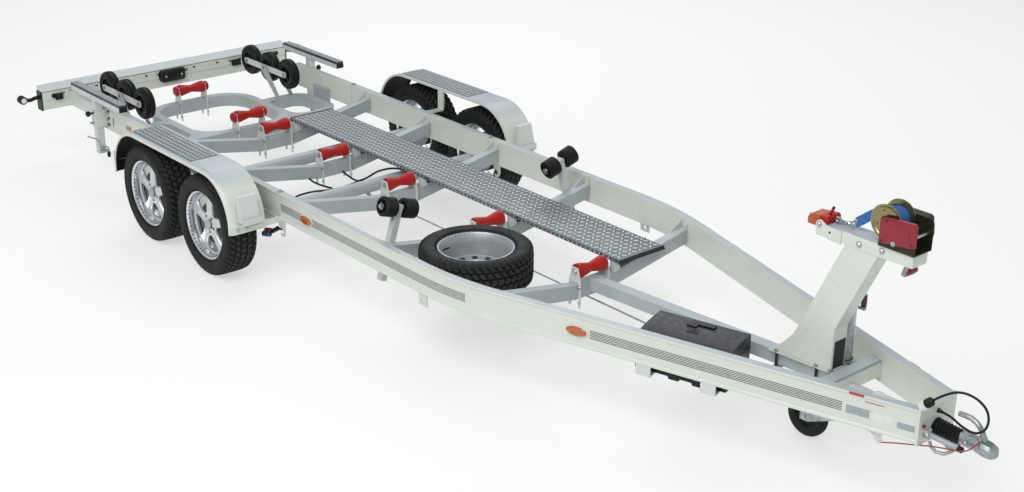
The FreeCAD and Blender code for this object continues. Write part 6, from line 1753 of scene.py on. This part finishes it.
@dataclass
class Toolbox:
    """The lid, latch and lugs of the plastic toolbox beside the right-hand rail."""

    rear: float = 3335.0
    long: float = 480.0
    near: float = 6.0
    far: float = 258.0
    low: float = 338.0
    top: float = 496.0
    lid: float = 48.0
    arch_steps: int = 10

    def place(self) -> Matrix:
        """The rear corner on the rail's inner face: x along the rail, y away from it."""
        turn = Matrix.Rotation(RAIL.angle, 4, "Z")
        return Matrix.Translation((self.rear, -RAIL.inner(self.rear), 0)) @ turn

    def build(self) -> None:
        """Builds the lid, its latch and the tub's lugs."""
        self.cover()
        self.latch()
        self.lugs()

    def cover(self) -> None:
        """The lid, which falls in an arch to the rail, with its hinge pin's knuckles."""
        top, far = self.top, self.far
        form = Form("toolbox_rounded_lid", BOX_PLASTIC, self.place())
        profile = [(self.near, top + 0.6), (far, top + 0.6), (far, top + self.lid * 0.86),
                   (far - 6, top + self.lid)]
        for k in range(1, self.arch_steps + 1):
            a = pi / 2 * k / self.arch_steps
            profile.append((far - 30 - (far - self.near - 30) * sin(a),
                            top + self.lid * (0.2 + 0.8 * cos(a))))
        form.prism(profile, "x", 0, self.long)
        for low, high in ((80, 110), (370, 400)):
            form.block((low, far - 4, top + 0.4), (high, far + 10, top + 4.4))
        form.use(BRIGHT).rod((80, far + 10, top + 0.4), (400, far + 10, top + 0.4), 4, 16, 0.5)
        form.piece("toolbox_cover", "black_plastic", ["toolbox_lid"], edge=4.0)

    def latch(self) -> None:
        """The latch and its hasp on the lid."""
        far, head, middle = self.far, self.top + self.lid, self.long * 0.5
        form = Form("toolbox_latch", BLACK_PLASTIC, self.place())
        form.block((middle - 30, far - 62, head - 6), (middle + 76, far - 30, head + 7))
        form.block((middle - 58, far - 88, head - 8), (middle - 6, far - 54, head + 5))
        form.prism(((middle - 36, far - 140), (middle + 22, far - 140), (middle + 30, far - 84),
                    (middle - 44, far - 84)), "z", self.top + self.lid * 0.66, self.top + self.lid * 0.96)
        form.use(BLACK_STEEL).turned(((0, 0), (0, 14), (3, 14), (4, 10), (4, 0)),
                                     (middle - 6, far - 118, self.top + self.lid * 0.95), (0, -0.2, 1), 24)
        form.piece("toolbox_cover", edge=1.5)

    def lugs(self) -> None:
        """The tub's rim, its ribs on the far side and the feet on the brackets."""
        top, far = self.top, self.far
        form = Form("toolbox_lugs", BLACK_PLASTIC, self.place())
        form.block((-1.5, self.near - 1, top - 24), (self.long + 1.5, far + 1.5, top - 14))
        for x in (60, 180, 300, 420):
            form.block((x - 14, far - 0.5, self.low + 14), (x + 14, far + 3, top - 24))
        for x in (204, 330):
            form.prism(((x - 34, self.low + 1), (x + 34, self.low + 1), (x + 26, self.low - 17),
                        (x - 26, self.low - 17)), "y", self.near + 6, self.near + 60)
        form.piece("trailer", edge=1.0)


@dataclass
class Lead:
    """The lighting cable and its plug."""

    route: tuple = ((3.3185, -0.010, 0.515), (3.3755, -0.010, 0.515), (3.4435, -0.025, 0.496),
                    (3.5165, -0.038, 0.495), (3.5665, -0.042, 0.531), (3.5815, -0.046, 0.592),
                    (3.5615, -0.048, 0.642), (3.5085, -0.057, 0.675), (3.4435, -0.078, 0.683),
                    (3.3929, -0.120, 0.6564), (3.3547, -0.120, 0.6182))
    radius: float = 0.0055
    length: float = 0.6254

    def build(self) -> None:
        """Builds the cable on its smooth line and the plug on its end."""
        curve = bpy.data.curves.new("lighting_cable", "CURVE")
        curve.dimensions = "3D"
        curve.resolution_u = 12
        curve.bevel_depth = self.radius
        curve.bevel_resolution = 4
        curve.use_fill_caps = True
        line = curve.splines.new("NURBS")
        line.points.add(len(self.route) - 1)
        for point, place in zip(line.points, self.route):
            point.co = (*place, 1.0)
        line.order_u = 3
        line.use_endpoint_u = True
        curve.materials.append(RUBBER.material())
        cable = show("lighting_cable", curve)
        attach(cable, "trailer")
        plug = self.plug()
        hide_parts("cable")

    def plug(self) -> bpy.types.Object:
        """The ribbed plug, parked in its holder."""
        ribs = [(k * 3.4, 20.8 - (1.6 if k % 2 else 0)) for k in range(1, 9)]
        form = Form("lighting_plug", BLACK_PLASTIC)
        form.turned([(0, 0), (0, 21), *ribs, (30, 17), (36, 9.5), (40.8, 7.5), (40.8, 0)],
                    PLUG_FOOT + PLUG_AXIS * 30, PLUG_AXIS, 32)
        return form.piece("trailer", "black_plastic", ["plug"])


@dataclass
class Stage:
    """The pale floor, the soft light and the camera at the photograph's angle."""

    camera_at: tuple = (6.4206, -5.1220, 3.6218)
    yaw: float = 0.8604
    pitch: float = -0.3930
    roll: float = 0.0100
    focal_px: float = 1489.73
    photo_wide_px: float = 1024.0
    sensor_mm: float = 36.0
    floor_wide: float = 120.0
    floor_glow: float = 0.55
    sky: str = "#eef2f6"
    sky_power: float = 0.62
    lamps: tuple = (("key", (3.5, -6.0, 7.5), 6.0, 520), ("fill", (-5.0, 4.0, 7.0), 7.0, 260))

    def build(self) -> None:
        """Builds the camera first, then floor, world and lamps."""
        self.camera()
        self.floor()
        self.light()

    def camera(self) -> None:
        """The camera, aimed by yaw, pitch and roll."""
        right = Vector((cos(self.yaw), sin(self.yaw), 0))
        level = cos(self.pitch)
        ahead = Vector((-right.y * level, right.x * level, sin(self.pitch)))
        up = right.cross(ahead)
        across = right * cos(self.roll) + up * sin(self.roll)
        above = up * cos(self.roll) - right * sin(self.roll)
        data = bpy.data.cameras.new("camera")
        data.sensor_width = self.sensor_mm
        data.lens = self.focal_px * self.sensor_mm / self.photo_wide_px
        made = show("camera", data)
        made.matrix_world = placed(across, above, -ahead, Vector(self.camera_at))
        bpy.context.scene.camera = made

    def floor(self) -> None:
        """A wide pale floor that is near white to the camera and keeps the shadow."""
        bpy.ops.mesh.primitive_plane_add(size=self.floor_wide)
        floor = bpy.context.object
        floor.name = "floor"
        made = bpy.data.materials.new("studio_floor")
        shader = Shader(made)
        seen = shader.node("LightPath").outputs
        ray = shader.node("Math", {0: seen["Is Camera Ray"], 1: seen["Is Glossy Ray"]}, operation="MAXIMUM")
        share = shader.node("Math", {0: ray.outputs[0], 1: self.floor_glow}, operation="MULTIPLY")
        dull = shader.node("BsdfDiffuse", {"Color": linear("#f2f2f0")})
        glow = shader.node("Emission", {"Color": (1, 1, 1, 1), "Strength": 1.0})
        mixed = shader.node("MixShader", {0: share.outputs[0], 1: dull.outputs[0], 2: glow.outputs[0]})
        shader.node("OutputMaterial", {"Surface": mixed.outputs[0]})
        floor.data.materials.append(made)

    def light(self) -> None:
        """An even sky with one large soft lamp above the near side and a weaker one opposite."""
        world = bpy.data.worlds.new("studio_sky")
        bpy.context.scene.world = world
        shader = Shader(world)
        seen = shader.node("LightPath").outputs["Is Camera Ray"]
        lit = shader.node("Background", {"Color": linear(self.sky), "Strength": self.sky_power})
        white = shader.node("Background", {"Color": (1, 1, 1, 1), "Strength": 1.0})
        mixed = shader.node("MixShader", {0: seen, 1: lit.outputs[0], 2: white.outputs[0]})
        shader.node("OutputWorld", {"Surface": mixed.outputs[0]})
        for name, place, size, power in self.lamps:
            data = bpy.data.lights.new(name, "AREA")
            data.size = size
            data.energy = power
            lamp = show(name, data)
            lamp.location = place
            lamp.rotation_euler = (-Vector(place)).to_track_quat("-Z", "Y").to_euler()
        bpy.context.scene.view_settings.view_transform = "Standard"


def main() -> None:
    """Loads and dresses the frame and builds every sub-assembly."""
    logging.basicConfig(level=logging.INFO, format="%(name)s: %(message)s")
    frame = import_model()
    dress(frame["nodes"])
    wheels = RoadWheels()
    parts = (Stage(), Lead(), Rails(), Chassis(), KeelRollers(), SlipWheels(),
             SideSupports(), Guides(), Walkway(), Fenders(), wheels,
             SpareWheel(wheels), LightBar(), Winch(), Jockey(), Coupling(),
             Toolbox())
    for part in parts:
        before = set(bpy.data.objects)
        part.build()
        for thing in sorted(set(bpy.data.objects) - before, key=lambda one: one.name):
            if thing.type == "MESH":
                LOG.info("%s: %s, %d faces", type(part).__name__, thing.name, len(thing.data.polygons))


if __name__ == "__main__":
    main()
